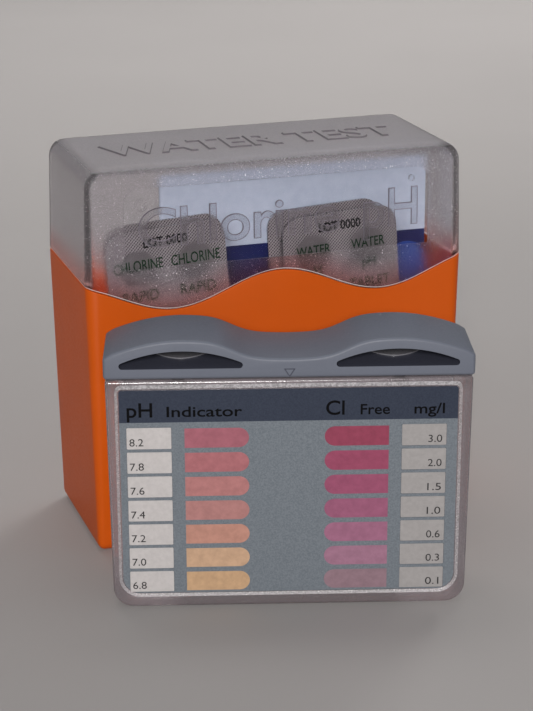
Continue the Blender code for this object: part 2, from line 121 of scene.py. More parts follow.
# Comparator, from the frame: its outline is centred on its own place.
BODY_LOW, BODY_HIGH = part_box("comparator_body")
COMPARATOR_TURN = math.radians(-16.64)
COMPARATOR_DEPTH = 0.0236
BODY_TOP_HALF_WIDTH = 0.0500
BODY_FOOT_HALF_WIDTH = 0.04925
BODY_HEIGHT = BODY_HIGH.z
BODY_FOOT_RADIUS = 0.0057
BODY_TOP_RADIUS = 0.0010
EDGE_RADIUS = 0.0009
CELL_CENTRE = 0.0382
CELL_WIDTH = 0.0135
CHAMBER_DEPTH = 0.0168
BLANK_WIDTH = 0.0580
CHAMBER_RADIUS = 0.0020
CHAMBER_FLOOR = 0.0040
CHAMBER_FLOOR_RADIUS = 0.0006
CARD_SHIFT = -0.0002
CARD_HALF_WIDTH = 0.0462
CARD_BOTTOM = 0.0042
CARD_TOP = 0.0644
CARD_FOOT_RADIUS = 0.0048
CARD_TOP_RADIUS = 0.0008
CARD_THICKNESS = 0.0003
RECESS_DEPTH = 0.0008
LIP_DEPTH = 0.0005
LIP_WIDTH = 0.0008
UPPER_LIP_EXTRA = 0.0005
# The faces of a recess's flare, by how far they turn to the front. Their materials follow the block's:
# paler, hazier copies that paint a highlight along the lip.
FLARE_LEAST = 0.10
FLARE_MOST = 0.97
HIGHLIT_LIP = 1
HIGHLIT_UPPER_LIP = 2
CARD_FRONT = RECESS_DEPTH - COMPARATOR_DEPTH / 2 - GAP - CARD_THICKNESS

# Scale card: windows over the cells, and the printed band, colours and numbers.
ROW_COUNT = 7
ROW_PITCH = 0.00713
FIRST_ROW_TOP = 0.0536
WINDOW_ROW_HEIGHT = 0.0063
WINDOW_ROW_WIDTH = 0.0123
WINDOW_CENTRES = (-0.0384, 0.0369)
WINDOW_ROW_RADIUS = 0.0003
BAND_FOOT = 0.0551
PATCH_HEIGHT = 0.0057
PH_PATCH = (-0.0287, -0.0111)
CL_PATCH = (0.0096, 0.0272)
INK_THICKNESS = 0.00002
INK_LIFT = 0.00002
FILM_MARGIN = 0.00006
FILM_THICKNESS = 0.00012
FILM_TONES = (0.56, 0.37)
HEADING_BASE = 0.0567
# Headings: text, left, right and height.
HEADINGS = (
    ("pH", -0.0442, -0.0374, 0.0040),
    ("Indicator", -0.0334, -0.0130, 0.0029),
    ("Cl", 0.0100, 0.0149, 0.0040),
    ("Free", 0.0194, 0.0273, 0.0029),
    ("mg/l", 0.0341, 0.0423, 0.0029),
)
PRINT_WEIGHT = 0.012
NUMBER_WIDTH = 0.0038
NUMBER_HEIGHT = 0.0021
NUMBER_DROP = 0.0022
PH_NUMBER_MARGIN = 0.0008
CL_NUMBER_MARGIN = 0.0012
PH_NUMBERS = ("8.2", "7.8", "7.6", "7.4", "7.2", "7.0", "6.8")
CL_NUMBERS = ("3.0", "2.0", "1.5", "1.0", "0.6", "0.3", "0.1")
PH_COLOURS = (
    (0.340, 0.106, 0.140),
    (0.375, 0.130, 0.145),
    (0.410, 0.170, 0.167),
    (0.395, 0.182, 0.172),
    (0.465, 0.232, 0.178),
    (0.520, 0.335, 0.215),
    (0.515, 0.330, 0.190),
)
CL_COLOURS = (
    (0.260, 0.038, 0.080),
    (0.285, 0.051, 0.108),
    (0.290, 0.065, 0.132),
    (0.293, 0.088, 0.163),
    (0.310, 0.120, 0.200),
    (0.318, 0.153, 0.226),
    (0.255, 0.162, 0.194),
)

# Cap.
CAP_LOW, CAP_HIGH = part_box("comparator_cap")
CAP_HALF_WIDTH = 0.0504
CAP_END_RADIUS = 0.0010
CAP_BOTTOM = CAP_LOW.z
CAP_TROUGH = 0.0730
CAP_HUMP_RISE = 0.0056
CAP_HUMP_X = 0.0285
CAP_FLANK_X = 0.0155
CAP_FLANK_LENGTH = 0.0060
CAP_SHOULDER_FALL = 9.9
CRESCENT_CENTRE = 0.0294
CRESCENT_HALF_WIDTH = 0.0198
CRESCENT_END_RADIUS = 0.0009
CRESCENT_FLOOR = 0.0705
CRESCENT_RISE = 0.0050
CRESCENT_DEPTH = 0.0160
MARK_HALF_WIDTH = 0.00135
MARK_TOP = 0.0701
MARK_TIP = 0.0680
MARK_LINE = 0.00028
MARK_SINK = 0.00030
# The pale pad in each crescent is a painted highlight on the recess's floor.
PAD_HALF_WIDTH = 0.0088
PAD_FRONT = 0.0085
PAD_BACK = 0.0157
PAD_RISE = 0.0003
# The recesses' material is the cap's second: darker, with painted shade in the crescents and the engraved
# mark.
CAP_SHADED_RECESS = 1

# Leaflet.
LEAFLET_LOW, LEAFLET_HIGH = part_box("leaflet_cover")
LEAFLET_FOLD_RADIUS = (LEAFLET_HIGH.y - LEAFLET_LOW.y) / 2
COVER_THICKNESS = 0.0003
NAVY_TOP = 0.0855
DISC_X = 0.0478
DISC_Z = 0.0755
DISC_RADIUS = 0.0064
PAGE_PITCH = 0.00012

# Strips, in their own frame: front face at y = 0, centred, upright.
STRIP_WIDTH = 0.0358
STRIP_LENGTH = 0.0940
STRIP_RADIUS = 0.0055
FOIL_THICKNESS = 0.0002
WEB_THICKNESS = 0.0003
POCKET_ROWS = 5
POCKET_COLUMNS = 2
POCKET_PITCH_X = 0.0172
POCKET_PITCH_Z = 0.0178
POCKET_RADIUS = 0.0056
POCKET_DEPTH = 0.0042
SHELL_END_RADIUS = 0.0012
HOLLOW_END_RADIUS = 0.0009
SAG_DEPTH = 0.00008
SAG_WIDTH = 0.0015
RIPPLE_DEPTH = 0.00003
RIPPLES_PER_METRE = 180
TABLET_RADIUS = 0.0040
TABLET_THICKNESS = 0.0030
TABLET_EDGE_RADIUS = 0.0004
KNURL_PITCH = 0.00070
KNURL_FAINT = 0.5
KNURL_MEAN = 0.25
# Print on the foil: front and back of its ink, and the letters' height by how many lines there are.
STRIP_INK = (-0.00005, -0.00002)
LINE_HEIGHTS = {2: 0.0031, 3: 0.0028}
LINE_DROP = 0.0005
HALF_LETTER = 0.00105
HALF_LINE = 0.0073
LINE_MARGIN = 0.0010
CODE_HALF_WIDTH = 0.0065
CODE_BASE = 0.0417
CODE_HEIGHT = 0.0026
CODE_WEIGHT = 0.022
# Name, tilt in degrees, and the lines printed over each pocket.
STRIPS = (
    ("chlorine_strip_1", 4.1, ("CHLORINE", "RAPID")),
    ("chlorine_strip_2", 3.6, ("CHLORINE", "RAPID")),
    ("ph_strip_1", 3.8, ("WATER", "pH", "TABLET")),
    ("ph_strip_2", 3.2, ("WATER", "pH", "TABLET")),
)

# Stage: each light's name, place, target, size, power, spread in degrees, and whether it shows in
# gloss. Then its surround, table and camera.
KIT_MIDDLE = (0.0, -0.03, 0.06)
LIGHTS = (
    ("key", (-0.42, -1.21, 0.54), KIT_MIDDLE, 0.22, 14.0, 180, True),
    ("wash", (0.20, 0.85, 1.40), (0.20, 0.75, 0.0), 1.2, 3.6, 70, True),
    ("back", (1.15, 1.15, 0.85), KIT_MIDDLE, 0.5, 10.0, 180, False),
)
LIGHT_COLOUR = (1.0, 0.97, 0.95)
WORLD_COLOUR = (0.97, 0.97, 1.0, 1.0)
WORLD_STRENGTH = 0.20
TABLE_HALF_WIDTH = 6.0
CAMERA_PLACE = (-0.18200, -0.55583, 0.24810)
CAMERA_LENS = 101.27
CAMERA_SENSOR = 36.0
CAMERA_YAW = math.radians(-18.511)
CAMERA_TILT = math.radians(90 - 18.867)
CAMERA_ROLL = math.radians(-0.183)

UPRIGHT = Matrix.Rotation(math.radians(90), 4, "X")
COMPARATOR_PLACE = Vector(((BODY_LOW.x + BODY_HIGH.x) / 2, (BODY_LOW.y + BODY_HIGH.y) / 2, 0.0))
COMPARATOR_FRAME = Matrix.Translation(COMPARATOR_PLACE) @ Matrix.Rotation(COMPARATOR_TURN, 4, "Z")
BODY_FRAMES = {"comparator": COMPARATOR_FRAME, "cap": COMPARATOR_FRAME}


# ---------------------------------------------------------------- mesh helpers


def arc(centre, radius, start, end, steps):
    """Points on an arc, angles in degrees, both ends included."""
    turn = [math.radians(start + (end - start) * step / steps) for step in range(steps + 1)]
    return [(centre[0] + radius * math.cos(a), centre[1] + radius * math.sin(a)) for a in turn]


def between(start, end, steps):
    """Points that divide a straight side, both ends left out."""
    shares = [step / steps for step in range(1, steps)]
    return [(start[0] + (end[0] - start[0]) * s, start[1] + (end[1] - start[1]) * s) for s in shares]


def rounded_rectangle(half_x, half_y, radius, corner_steps=10, x_steps=1, y_steps=1):
    """A counter-clockwise rounded rectangle that starts along its -Y side."""
    in_x = half_x - radius
    in_y = half_y - radius
    points = between((-in_x, -half_y), (in_x, -half_y), x_steps)
    points += arc((in_x, -in_y), radius, -90, 0, corner_steps)
    points += between((half_x, -in_y), (half_x, in_y), y_steps)
    points += arc((in_x, in_y), radius, 0, 90, corner_steps)
    points += between((in_x, half_y), (-in_x, half_y), x_steps)
    points += arc((-in_x, in_y), radius, 90, 180, corner_steps)
    points += between((-half_x, in_y), (-half_x, -in_y), y_steps)
    points += arc((-in_x, -in_y), radius, 180, 270, corner_steps)
    return points


def moved_in(points, distance):
    """The outline with each point moved inwards along its corner's normal."""
    inner = []
    for index, point in enumerate(points):
        before = Vector(points[index - 1])
        here = Vector(point)
        after = Vector(points[(index + 1) % len(points)])
        along = ((here - before).normalized() + (after - here).normalized()).normalized()
        inner.append((here.x - along.y * distance, here.y + along.x * distance))
    return inner


def shifted(points, x, z):
    """The outline moved as a whole."""
    return [(px + x, pz + z) for px, pz in points]


def loft_mesh(name, rings, matrix=None):
    """Join equal rings into one closed skin, capped at its first and last ring."""
    count = len(rings[0])
    points = [Vector(point) for ring in rings for point in ring]
    faces = [tuple(reversed(range(count)))]
    for level in range(len(rings) - 1):
        low = level * count
        high = low + count
        for index in range(count):
            after = (index + 1) % count
            faces.append((low + index, low + after, high + after, high + index))
    last = (len(rings) - 1) * count
    faces.append(tuple(range(last, last + count)))
    mesh = bpy.data.meshes.new(name)
    mesh.from_pydata(points, [], faces)
    if matrix is not None:
        mesh.transform(matrix)
    smooth(mesh)
    return mesh


def smooth(mesh):
    """Shade smooth, with the sharper edges kept sharp."""
    mesh.shade_smooth()
    mesh.set_sharp_from_angle(angle=SMOOTH_ANGLE)


def quarter_round(steps):
    """Stations of a quarter round, as two shares of its radius: one grows as the other shrinks."""
    turns = [math.radians(90) * step / steps for step in range(steps + 1)]
    return [(1 - math.cos(turn), 1 - math.sin(turn)) for turn in turns]


def prism_mesh(name, outline, low, high, low_radius=0.0, high_radius=0.0, matrix=None):
    """Extrude an outline from one height to another, with rounded end edges."""
    corner = quarter_round(4)
    rings = []
    for up, inward in corner if low_radius else corner[:1]:
        inner = moved_in(outline, low_radius * inward)
        rings.append([(x, y, low + low_radius * up) for x, y in inner])
    for inward, down in corner if high_radius else corner[:1]:
        inner = moved_in(outline, high_radius * inward)
        rings.append([(x, y, high - high_radius * down) for x, y in inner])
    return loft_mesh(name, rings, matrix)


def slab_mesh(name, outline, front, back, front_radius=0.0, back_radius=0.0):
    """A prism that stands upright: its outline is in XZ and it runs from front y to back y."""
    return prism_mesh(name, outline, -back, -front, back_radius, front_radius, UPRIGHT)


def join_meshes(name, meshes):
    """One mesh that holds several separate closed skins."""
    points = []
    faces = []
    numbers = []
    for mesh in meshes:
        start = len(points)
        points.extend(vertex.co.copy() for vertex in mesh.vertices)
        faces.extend(tuple(start + index for index in face.vertices) for face in mesh.polygons)
        numbers.extend(face.material_index for face in mesh.polygons)
    joined = bpy.data.meshes.new(name)
    joined.from_pydata(points, [], faces)
    joined.polygons.foreach_set("material_index", numbers)
    return joined


def shown(name, data):
    """A new object in the scene that shows a mesh, a curve, a light or a camera."""
    obj = bpy.data.objects.new(name, data)
    bpy.context.scene.collection.objects.link(obj)
    return obj


def evaluated_mesh(obj):
    """The object's final mesh, as its own data."""
    bpy.context.view_layer.update()
    evaluated = obj.evaluated_get(bpy.context.evaluated_depsgraph_get())
    return bpy.data.meshes.new_from_object(evaluated)


def boolean(mesh, tool, operation):
    """The mesh with an exact Boolean applied. The tool's material numbers are kept on its faces."""
    target = shown("target", mesh)
    cutter = shown("cutter", tool)
    step = target.modifiers.new("step", "BOOLEAN")
    step.operation = operation
    step.solver = "EXACT"
    step.object = cutter
    result = evaluated_mesh(target)
    result.name = mesh.name
    bpy.data.objects.remove(target)
    bpy.data.objects.remove(cutter)
    smooth(result)
    return result


def welded(mesh):
    """The mesh with its coincident points joined."""
    work = bmesh.new()
    work.from_mesh(mesh)
    bmesh.ops.remove_doubles(work, verts=work.verts, dist=WELD_DISTANCE)
    work.to_mesh(mesh)
    work.free()
    return mesh


def curve_mesh(curve):
    """The mesh that a curve or a line of text makes."""
    obj = shown("outline", curve)
    mesh = welded(evaluated_mesh(obj))
    bpy.data.objects.remove(obj)
    return mesh


def letter_loops(text):
    """The outlines of the built-in font's letters, with their ink on the left of each loop."""
    curve = bpy.data.curves.new("text", "FONT")
    curve.body = text
    obj = shown("words", curve)
    bpy.context.view_layer.update()
    loops = []
    for spline in obj.to_curve(bpy.context.evaluated_depsgraph_get()).splines:
        loop = []
        knots = spline.bezier_points
        for index, knot in enumerate(knots):
            before = knots[index - 1]
            handles = (before.co, before.handle_right, knot.handle_left, knot.co)
            steps = LETTER_STEPS if is_bent(*handles) else 1
            loop += [point.to_2d() for point in interpolate_bezier(*handles, steps + 1)[1:]]
        loops.append(loop)
    obj.to_curve_clear()
    bpy.data.objects.remove(obj)
    if sum(area_sign(loop) for loop in loops) < 0:
        loops = [list(reversed(loop)) for loop in loops]
    return loops


def is_bent(start, first, second, end):
    """Whether a stretch of a letter's outline leaves the straight line between its ends."""
    along = (end - start).normalized()
    bend = max((first - start).cross(along).length, (second - start).cross(along).length)
    return bend > BENT_LIMIT


def area_sign(loop):
    """A loop's area, positive where it runs counter-clockwise."""
    return sum(loop[index - 1].cross(here) for index, here in enumerate(loop)) / 2


def reach_to_loop(point, loop):
    """Distance from a point to the nearest side of a loop."""
    nearest = math.inf
    for index, end in enumerate(loop):
        start = loop[index - 1]
        along = end - start
        share = max(0.0, min(1.0, (point - start).dot(along) / along.length_squared))
        nearest = min(nearest, (point - start - along * share).length)
    return nearest


def grown_loop(loop, distance):
    """The loop moved away from its ink, without the points that a tight corner folds over."""
    if not distance:
        return loop
    grown = []
    for index, here in enumerate(loop):
        before = (here - loop[index - 1]).normalized()
        after = (loop[(index + 1) % len(loop)] - here).normalized()
        first = Vector((before.y, -before.x))
        second = Vector((after.y, -after.x))
        limit = CONVEX_LIMIT if before.cross(after) > 0 else CONCAVE_LIMIT
        out = (first + second) / max(1.0 + first.dot(second), limit)
        grown.append(here + out * distance)
    return [point for point in grown if reach_to_loop(point, loop) > CLEAR_SHARE * distance]


def raw_text(text, weight=0.0):
    """Closed letters of the built-in font in XY, one unit thick about z = 0. weight fattens them."""
    curve = bpy.data.curves.new("letters", "CURVE")
    curve.dimensions = "2D"
    curve.fill_mode = "BOTH"
    curve.extrude = 0.5
    for loop in letter_loops(text):
        points = grown_loop(loop, weight)
        spline = curve.splines.new("POLY")
        spline.points.add(len(points) - 1)
        for spot, point in zip(spline.points, points):
            spot.co = (point.x, point.y, 0.0, 1.0)
        spline.use_cyclic_u = True
    return curve_mesh(curve)


def span(mesh, axis):
    """Lowest and highest coordinate along an axis."""
    values = [vertex.co[axis] for vertex in mesh.vertices]
    return min(values), max(values)


CAPITAL_HEIGHT = span(raw_text("H"), 1)[1]


def text_mesh(text, left, right, base, height, low, high, weight=0.0):
    """Letters in XY that fill a span in x, stand on a base line and run from low to high in z."""
    start, end = span(raw_text(text), 0)
    mesh = raw_text(text, weight)
    stretch = (right - left) / (end - start)
    tall = height / CAPITAL_HEIGHT
    size = Matrix.Diagonal((stretch, tall, high - low, 1.0))
    mesh.transform(Matrix.Translation((left - start * stretch, base, (low + high) / 2)) @ size)
    return mesh


def upright_text(text, left, right, base, height, front, back, weight=0.0):
    """Letters that stand in XZ and face -Y."""
    mesh = text_mesh(text, left, right, base, height, -back, -front, weight)
    mesh.transform(UPRIGHT)
    return mesh


def piece(name, mesh, surface, body, replaced=(), place=None):
    """Show a mesh as one piece that rides on a body and takes its finish from a slot."""
    obj = shown(name, mesh)
    obj.matrix_world = BODY_FRAMES.get(body, Matrix()) if place is None else place
    if not mesh.materials:
        mesh.materials.append(surface)
    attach(obj, body)
    if replaced:
        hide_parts(*replaced)


# ---------------------------------------------------------------- material helpers


class Surface:
    """One node material, with short ways to add nodes to it."""

    def __init__(self, name):
        self.material = bpy.data.materials.new(name)
        self.material.use_nodes = True
        self.tree = self.material.node_tree
        self.tree.nodes.clear()
        self.place = self.node("ShaderNodeTexCoord").outputs["Object"]

    def node(self, kind, inputs=None, **settings):
        """Add a node. Each input takes a plain value or another node's output."""
        made = self.tree.nodes.new(kind)
        for key, value in settings.items():
            setattr(made, key, value)
        for key, value in (inputs or {}).items():
            if isinstance(value, bpy.types.NodeSocket):
                self.tree.links.new(value, made.inputs[key])
            else:
                made.inputs[key].default_value = value
        return made

    def math(self, operation, first, second=0.0, third=0.0):
        """One arithmetic step."""
        values = {0: first, 1: second, 2: third}
        return self.node("ShaderNodeMath", values, operation=operation).outputs[0]

    def axes(self):
        """The object's own x, y and z."""
        split = self.node("ShaderNodeSeparateXYZ", {0: self.place})
        return split.outputs[0], split.outputs[1], split.outputs[2]

    def reach(self, across, down):
        """Distance from the point where both lengths are 0."""
        squared = self.math("MULTIPLY_ADD", across, across, self.math("MULTIPLY", down, down))
        return self.math("SQRT", squared)

    def noise(self, scale, detail=2.0, roughness=0.5):
        """Cloudy noise, scale in cycles per metre."""
        inputs = {"Vector": self.place, "Scale": scale, "Detail": detail, "Roughness": roughness}
        return self.node("ShaderNodeTexNoise", inputs).outputs["Fac"]

    def remap(self, value, from_low, from_high, to_low=0.0, to_high=1.0):
        """A value taken from one range to another, and held inside it."""
        inputs = {"Value": value, 1: from_low, 2: from_high, 3: to_low, 4: to_high}
        return self.node("ShaderNodeMapRange", inputs).outputs["Result"]

    def mix(self, share, first, second):
        """A colour between two colours."""
        first = (*first, 1.0) if isinstance(first, tuple) else first
        second = (*second, 1.0) if isinstance(second, tuple) else second
        return self.node("ShaderNodeMix", {0: share, 6: first, 7: second}, data_type="RGBA").outputs[2]

    def bump(self, height, distance):
        """A fine relief, distance in metres."""
        inputs = {"Height": height, "Distance": distance, "Strength": 1.0}
        return self.node("ShaderNodeBump", inputs).outputs["Normal"]

    def finished(self, colour, roughness, relief=None, others=None, lamp_tint=None):
        """Close the tree with a Principled shader. With a lamp tint, lamps shine through it."""
        inputs = {"Base Color": colour, "Roughness": roughness, **(others or {})}
        if relief is not None:
            inputs["Normal"] = relief
        shader = self.node("ShaderNodeBsdfPrincipled", inputs).outputs[0]
        if lamp_tint:
            lamp = self.node("ShaderNodeLightPath").outputs["Is Shadow Ray"]
            passed = self.node("ShaderNodeBsdfTransparent", {"Color": (*lamp_tint, 1.0)}).outputs[0]
            shader = self.node("ShaderNodeMixShader", {0: lamp, 1: shader, 2: passed}).outputs[0]
        self.node("ShaderNodeOutputMaterial", {"Surface": shader})
        return self.material


def shade_pair(colour, change):
    """A slightly darker and a slightly lighter version of a colour."""
    return tuple(c * (1 - change) for c in colour), tuple(min(c * (1 + change), 1.0) for c in colour)


def moulded(name, colour, roughness, grain, relief, change=0.05, gloss=0.5):
    """Moulded plastic: faint mottling, and a fine grain in its relief and its gloss."""
    surface = Surface(name)
    grains = surface.noise(grain, 3.0, 0.6)
    tone = surface.mix(surface.noise(90.0, 4.0, 0.6), *shade_pair(colour, change))
    rough = surface.remap(grains, 0.3, 0.7, roughness - 0.05, roughness + 0.05)
    return surface.finished(tone, rough, surface.bump(grains, relief), {"Specular IOR Level": gloss})


def painted_rim_glow(surface):
    """Share of the painted glow: the orange rim's light painted into the plastic above the parting line, 1
    at the line.
    """
    x, _, z = surface.axes()
    wave = surface.math("COSINE", surface.math("MULTIPLY", x, 2 * math.pi / PARTING_WAVELENGTH))
    parting = surface.math("MULTIPLY_ADD", wave, PARTING_SWING, PARTING_MEAN)
    return surface.remap(surface.math("SUBTRACT", z, parting), 0.0, PAINTED_GLOW_HEIGHT, 1.0, 0.0)


def clear(
    name, tint, roughness, grain, relief, lamp_tint, haze=0.0, change=0.03, gloss=1.0, painted_glow=None, top=None
):
    """Clear plastic with a fine grain. Its roughness and haze say how frosted it is.

    The painted glow argument is the colour that it takes near the orange rim, the rim's light painted in;
    top is its haze on the lid's flat top.
    """
    surface = Surface(name)
    grains = surface.noise(grain, 2.0, 0.6)
    colour = surface.mix(surface.remap(grains, 0.35, 0.65), *shade_pair(tint, change))
    # Paint the orange rim's glow into the colour near the parting line.
    if painted_glow:
        colour = surface.mix(painted_rim_glow(surface), colour, painted_glow)
    passing = 1.0 - haze
    rough = surface.remap(grains, 0.3, 0.7, roughness * 0.9, roughness * 1.1)
    if top:
        _, _, z = surface.axes()
        band = (z, CASE_HEIGHT - TOP_HAZE_DEPTH, CASE_HEIGHT)
        passing = surface.remap(*band, 1.0 - haze, 1.0 - top)
        rough = surface.math("MULTIPLY", rough, surface.remap(*band, 1.0, TOP_DULLNESS))
    others = {"Transmission Weight": passing, "Specular Tint": (gloss, gloss, gloss, 1.0), "IOR": 1.49}
    return surface.finished(colour, rough, surface.bump(grains, relief), others, lamp_tint)


def card_surface():
    """The scale card: grey speckled film with a darker band across its head."""
    surface = Surface("scale_card_print")
    _, _, z = surface.axes()
    grains = surface.noise(2300.0, 3.0, 0.7)
    density = surface.remap(grains, 0.35, 0.65)
    body = surface.mix(density, (0.124, 0.146, 0.169), (0.180, 0.206, 0.233))
    band = surface.mix(density, (0.016, 0.024, 0.046), (0.026, 0.036, 0.062))
    return surface.finished(
        surface.mix(surface.math("GREATER_THAN", z, BAND_FOOT), body, band),
        surface.remap(grains, 0.3, 0.7, 0.35, 0.50),
        surface.bump(grains, 0.00002),
        {"Specular IOR Level": 0.35, "Coat Weight": 0.25, "Coat Roughness": 0.08},
    )


def patch_surface(name, colour):
    """A printed reference colour, faintly mottled, under a gloss film."""
    surface = Surface(name)
    cloud = surface.remap(surface.noise(420.0, 4.0, 0.7), 0.35, 0.65)
    tone = surface.mix(cloud, *shade_pair(colour, 0.10))
    rough = surface.remap(cloud, 0.0, 1.0, 0.30, 0.42)
    return surface.finished(tone, rough, others={"Coat Weight": 0.2, "Coat Roughness": 0.08})


def ink_surface(name, colour):
    """Printing ink with a slightly uneven density."""
    surface = Surface(name)
    tone = surface.mix(surface.noise(900.0, 3.0), *shade_pair(colour, 0.2))
    return surface.finished(tone, 0.55, others={"Specular IOR Level": 0.1})


def leaflet_surface():
    """Coated paper: white head, navy foot and a round blue ornament."""
    surface = Surface("leaflet_print")
    x, y, z = surface.axes()
    fibre = surface.noise(700.0, 5.0, 0.7)
    paper = surface.mix(fibre, (0.27, 0.31, 0.375), (0.32, 0.36, 0.43))
    navy = surface.mix(fibre, (0.003, 0.006, 0.050), (0.005, 0.010, 0.070))
    blue = surface.mix(fibre, (0.012, 0.040, 0.200), (0.018, 0.052, 0.240))
    reach = surface.reach(surface.math("SUBTRACT", x, DISC_X), surface.math("SUBTRACT", z, DISC_Z))
    lower = surface.mix(surface.math("LESS_THAN", reach, DISC_RADIUS), navy, blue)
    face = surface.math("LESS_THAN", y, LEAFLET_LOW.y + LEAFLET_FOLD_RADIUS)
    below = surface.math("MULTIPLY", surface.math("LESS_THAN", z, NAVY_TOP), face)
    rough = surface.remap(fibre, 0.3, 0.7, 0.35, 0.50)
    return surface.finished(surface.mix(below, paper, lower), rough, surface.bump(fibre, 0.00002))


def pages_surface():
    """The edges of stacked paper: fine layers across the fold's thickness."""
    surface = Surface("leaflet_pages_paper")
    _, y, _ = surface.axes()
    shade = surface.remap(surface.math("PINGPONG", y, PAGE_PITCH), 0.0, PAGE_PITCH)
    tone = surface.mix(shade, (0.45, 0.47, 0.50), (0.80, 0.82, 0.85))
    return surface.finished(tone, 0.7, surface.bump(shade, 0.00004))


def foil_surface():
    """Sealed foil: fine slanting lines all over, crossed by fainter ones, but smooth over the pockets."""
    surface = Surface("knurled_foil")
    x, _, z = surface.axes()
    wave = 2 * math.pi / (KNURL_PITCH * math.sqrt(2))
    rising, falling = [
        surface.math("SINE", surface.math("MULTIPLY", surface.math(slant, x, z), wave))
        for slant in ("SUBTRACT", "ADD")
    ]
    faint = surface.math("MULTIPLY", falling, KNURL_FAINT)
    hatch = surface.math("SUBTRACT", surface.math("MAXIMUM", rising, faint), KNURL_MEAN)
    across = surface.math("SUBTRACT", surface.math("ABSOLUTE", x), POCKET_PITCH_X / 2)
    down = surface.math("WRAP", z, POCKET_PITCH_Z / 2, -POCKET_PITCH_Z / 2)
    reach = surface.reach(across, down)
    sealed = surface.remap(reach, POCKET_RADIUS - 0.0006, POCKET_RADIUS + 0.0004)
    pattern = surface.math("MULTIPLY", hatch, sealed)
    crease = surface.noise(160.0, 4.0, 0.6)
    height = surface.math("MULTIPLY_ADD", crease, 1.2, pattern)
    share = surface.remap(pattern, -0.60, 0.55)
    tone = surface.mix(share, (0.020, 0.017, 0.020), (0.25, 0.230, 0.240))
    rough = surface.remap(crease, 0.3, 0.7, 0.38, 0.50)
    return surface.finished(tone, rough, surface.bump(height, 0.00006), {"Metallic": 0.7})


def tablet_surface():
    """Pressed powder: chalky white with small pits and grey specks."""
    surface = Surface("pressed_powder")
    grains = surface.noise(1800.0, 4.0, 0.7)
    share = surface.remap(grains, 0.3, 0.5)
    tone = surface.mix(share, (0.68, 0.66, 0.62), (0.86, 0.85, 0.82))
    return surface.finished(tone, 0.85, surface.bump(grains, 0.00006))


def floor_surface():
    """A pale, matt table top."""
    surface = Surface("pale_table")
    cloud = surface.noise(6.0, 5.0, 0.6)
    tone = surface.mix(cloud, (0.365, 0.352, 0.346), (0.400, 0.386, 0.380))
    rough = surface.remap(cloud, 0.3, 0.7, 0.62, 0.70)
    return surface.finished(tone, rough, others={"Specular IOR Level": 0.10})


# ---------------------------------------------------------------- case


def parting_height(x):
    """Height of the wavy line where the base and the lid meet."""
    return PARTING_MEAN + PARTING_SWING * math.cos(2 * math.pi * x / PARTING_WAVELENGTH)


SIDE_PARTING = parting_height(CASE_WIDTH / 2)


def draft_inset(height):
    """How far the case's outer face has moved in at a height: it tapers both ways."""
    draft = LID_DRAFT if height > SIDE_PARTING else BASE_DRAFT
    return abs(height - SIDE_PARTING) * math.tan(draft)


def case_outline(inset_x, inset_y):
    """The case's plan outline, moved in from its widest place."""
    radius = max(CORNER_RADIUS - max(inset_x, inset_y), INNER_CORNER_RADIUS)
    half_x = CASE_WIDTH / 2 - inset_x
    half_y = CASE_DEPTH / 2 - inset_y
    return rounded_rectangle(half_x, half_y, radius, corner_steps=10, x_steps=96, y_steps=6)


def case_ring(inset_x, inset_y, height):
    """One loop of the case's wall. height is a function of the loop's place at the parting."""
    ring = []
    outlines = {}
    for index, (x, y) in enumerate(case_outline(0.0, 0.0)):
        z = height(x, y)
        draft = draft_inset(z)
        if draft not in outlines:
            outlines[draft] = case_outline(inset_x + draft, inset_y + draft)
        ring.append((*outlines[draft][index], z))
    return ring


def flat_ring(inset, height):
    """A level loop of the case's wall."""
    return case_ring(inset, inset, lambda x, y: height)


def wavy_ring(inset, lift):
    """A loop of the case's wall that follows the parting line, lifted above it."""
    return case_ring(inset, inset, lambda x, y: parting_height(x) + lift)


def dome_rings(side_radius, front_radius, wall, top, steps):
    """Loops that round the lid's top edge, from its walls up to its flat top."""

    def side_share(x, y):
        across = max(abs(x) - (CASE_WIDTH / 2 - CORNER_RADIUS), 0.0)
        along = max(abs(y) - (CASE_DEPTH / 2 - CORNER_RADIUS), 0.0)
        if across + along == 0:
            return 0.0
        return across / math.hypot(across, along)

    rings = []
    for inward, drop in quarter_round(steps):

        def height(x, y, drop=drop):
            share = side_share(x, y)
            radius = math.hypot(side_radius * share, front_radius * math.sqrt(1 - share**2))
            return top - radius * drop

        rings.append(case_ring(wall + side_radius * inward, wall + front_radius * inward, height))
    return rings


def make_base():
    """The orange base, with a rounded foot and softened edges along its wavy rim."""
    rings = [flat_ring(FOOT_RADIUS * inward, FOOT_RADIUS * up) for up, inward in quarter_round(8)]
    rings += [wavy_ring(RIM_RADIUS * inward, -RIM_RADIUS * down) for inward, down in quarter_round(3)]
    for inward, down in reversed(quarter_round(2)):
        rings.append(wavy_ring(RIM_WALL - RIM_RADIUS * inward, -RIM_RADIUS * down))
    rings += [flat_ring(RIM_WALL, REBATE_HEIGHT), flat_ring(BASE_WALL, REBATE_HEIGHT)]
    for inward, up in quarter_round(4):
        rings.append(flat_ring(BASE_WALL + BASE_FLOOR_RADIUS * inward, BASE_FLOOR + BASE_FLOOR_RADIUS * up))
    orange = moulded("orange_plastic", (0.56, 0.085, 0.002), 0.45, 1500.0, 0.00003, gloss=0.22)
    piece("base_shell", loft_mesh("base_shell", rings), orange, "case", ["case_base"])


def lean_with_front(mesh):
    """Shear an upright mesh so that y = -depth / 2 lies on the lid's drafted front face."""
    shear = Matrix.Identity(4)
    shear[1][2] = math.tan(LID_DRAFT)
    lift = Matrix.Translation((0.0, 0.0, SIDE_PARTING))
    mesh.transform(lift @ shear @ lift.inverted())
    return mesh


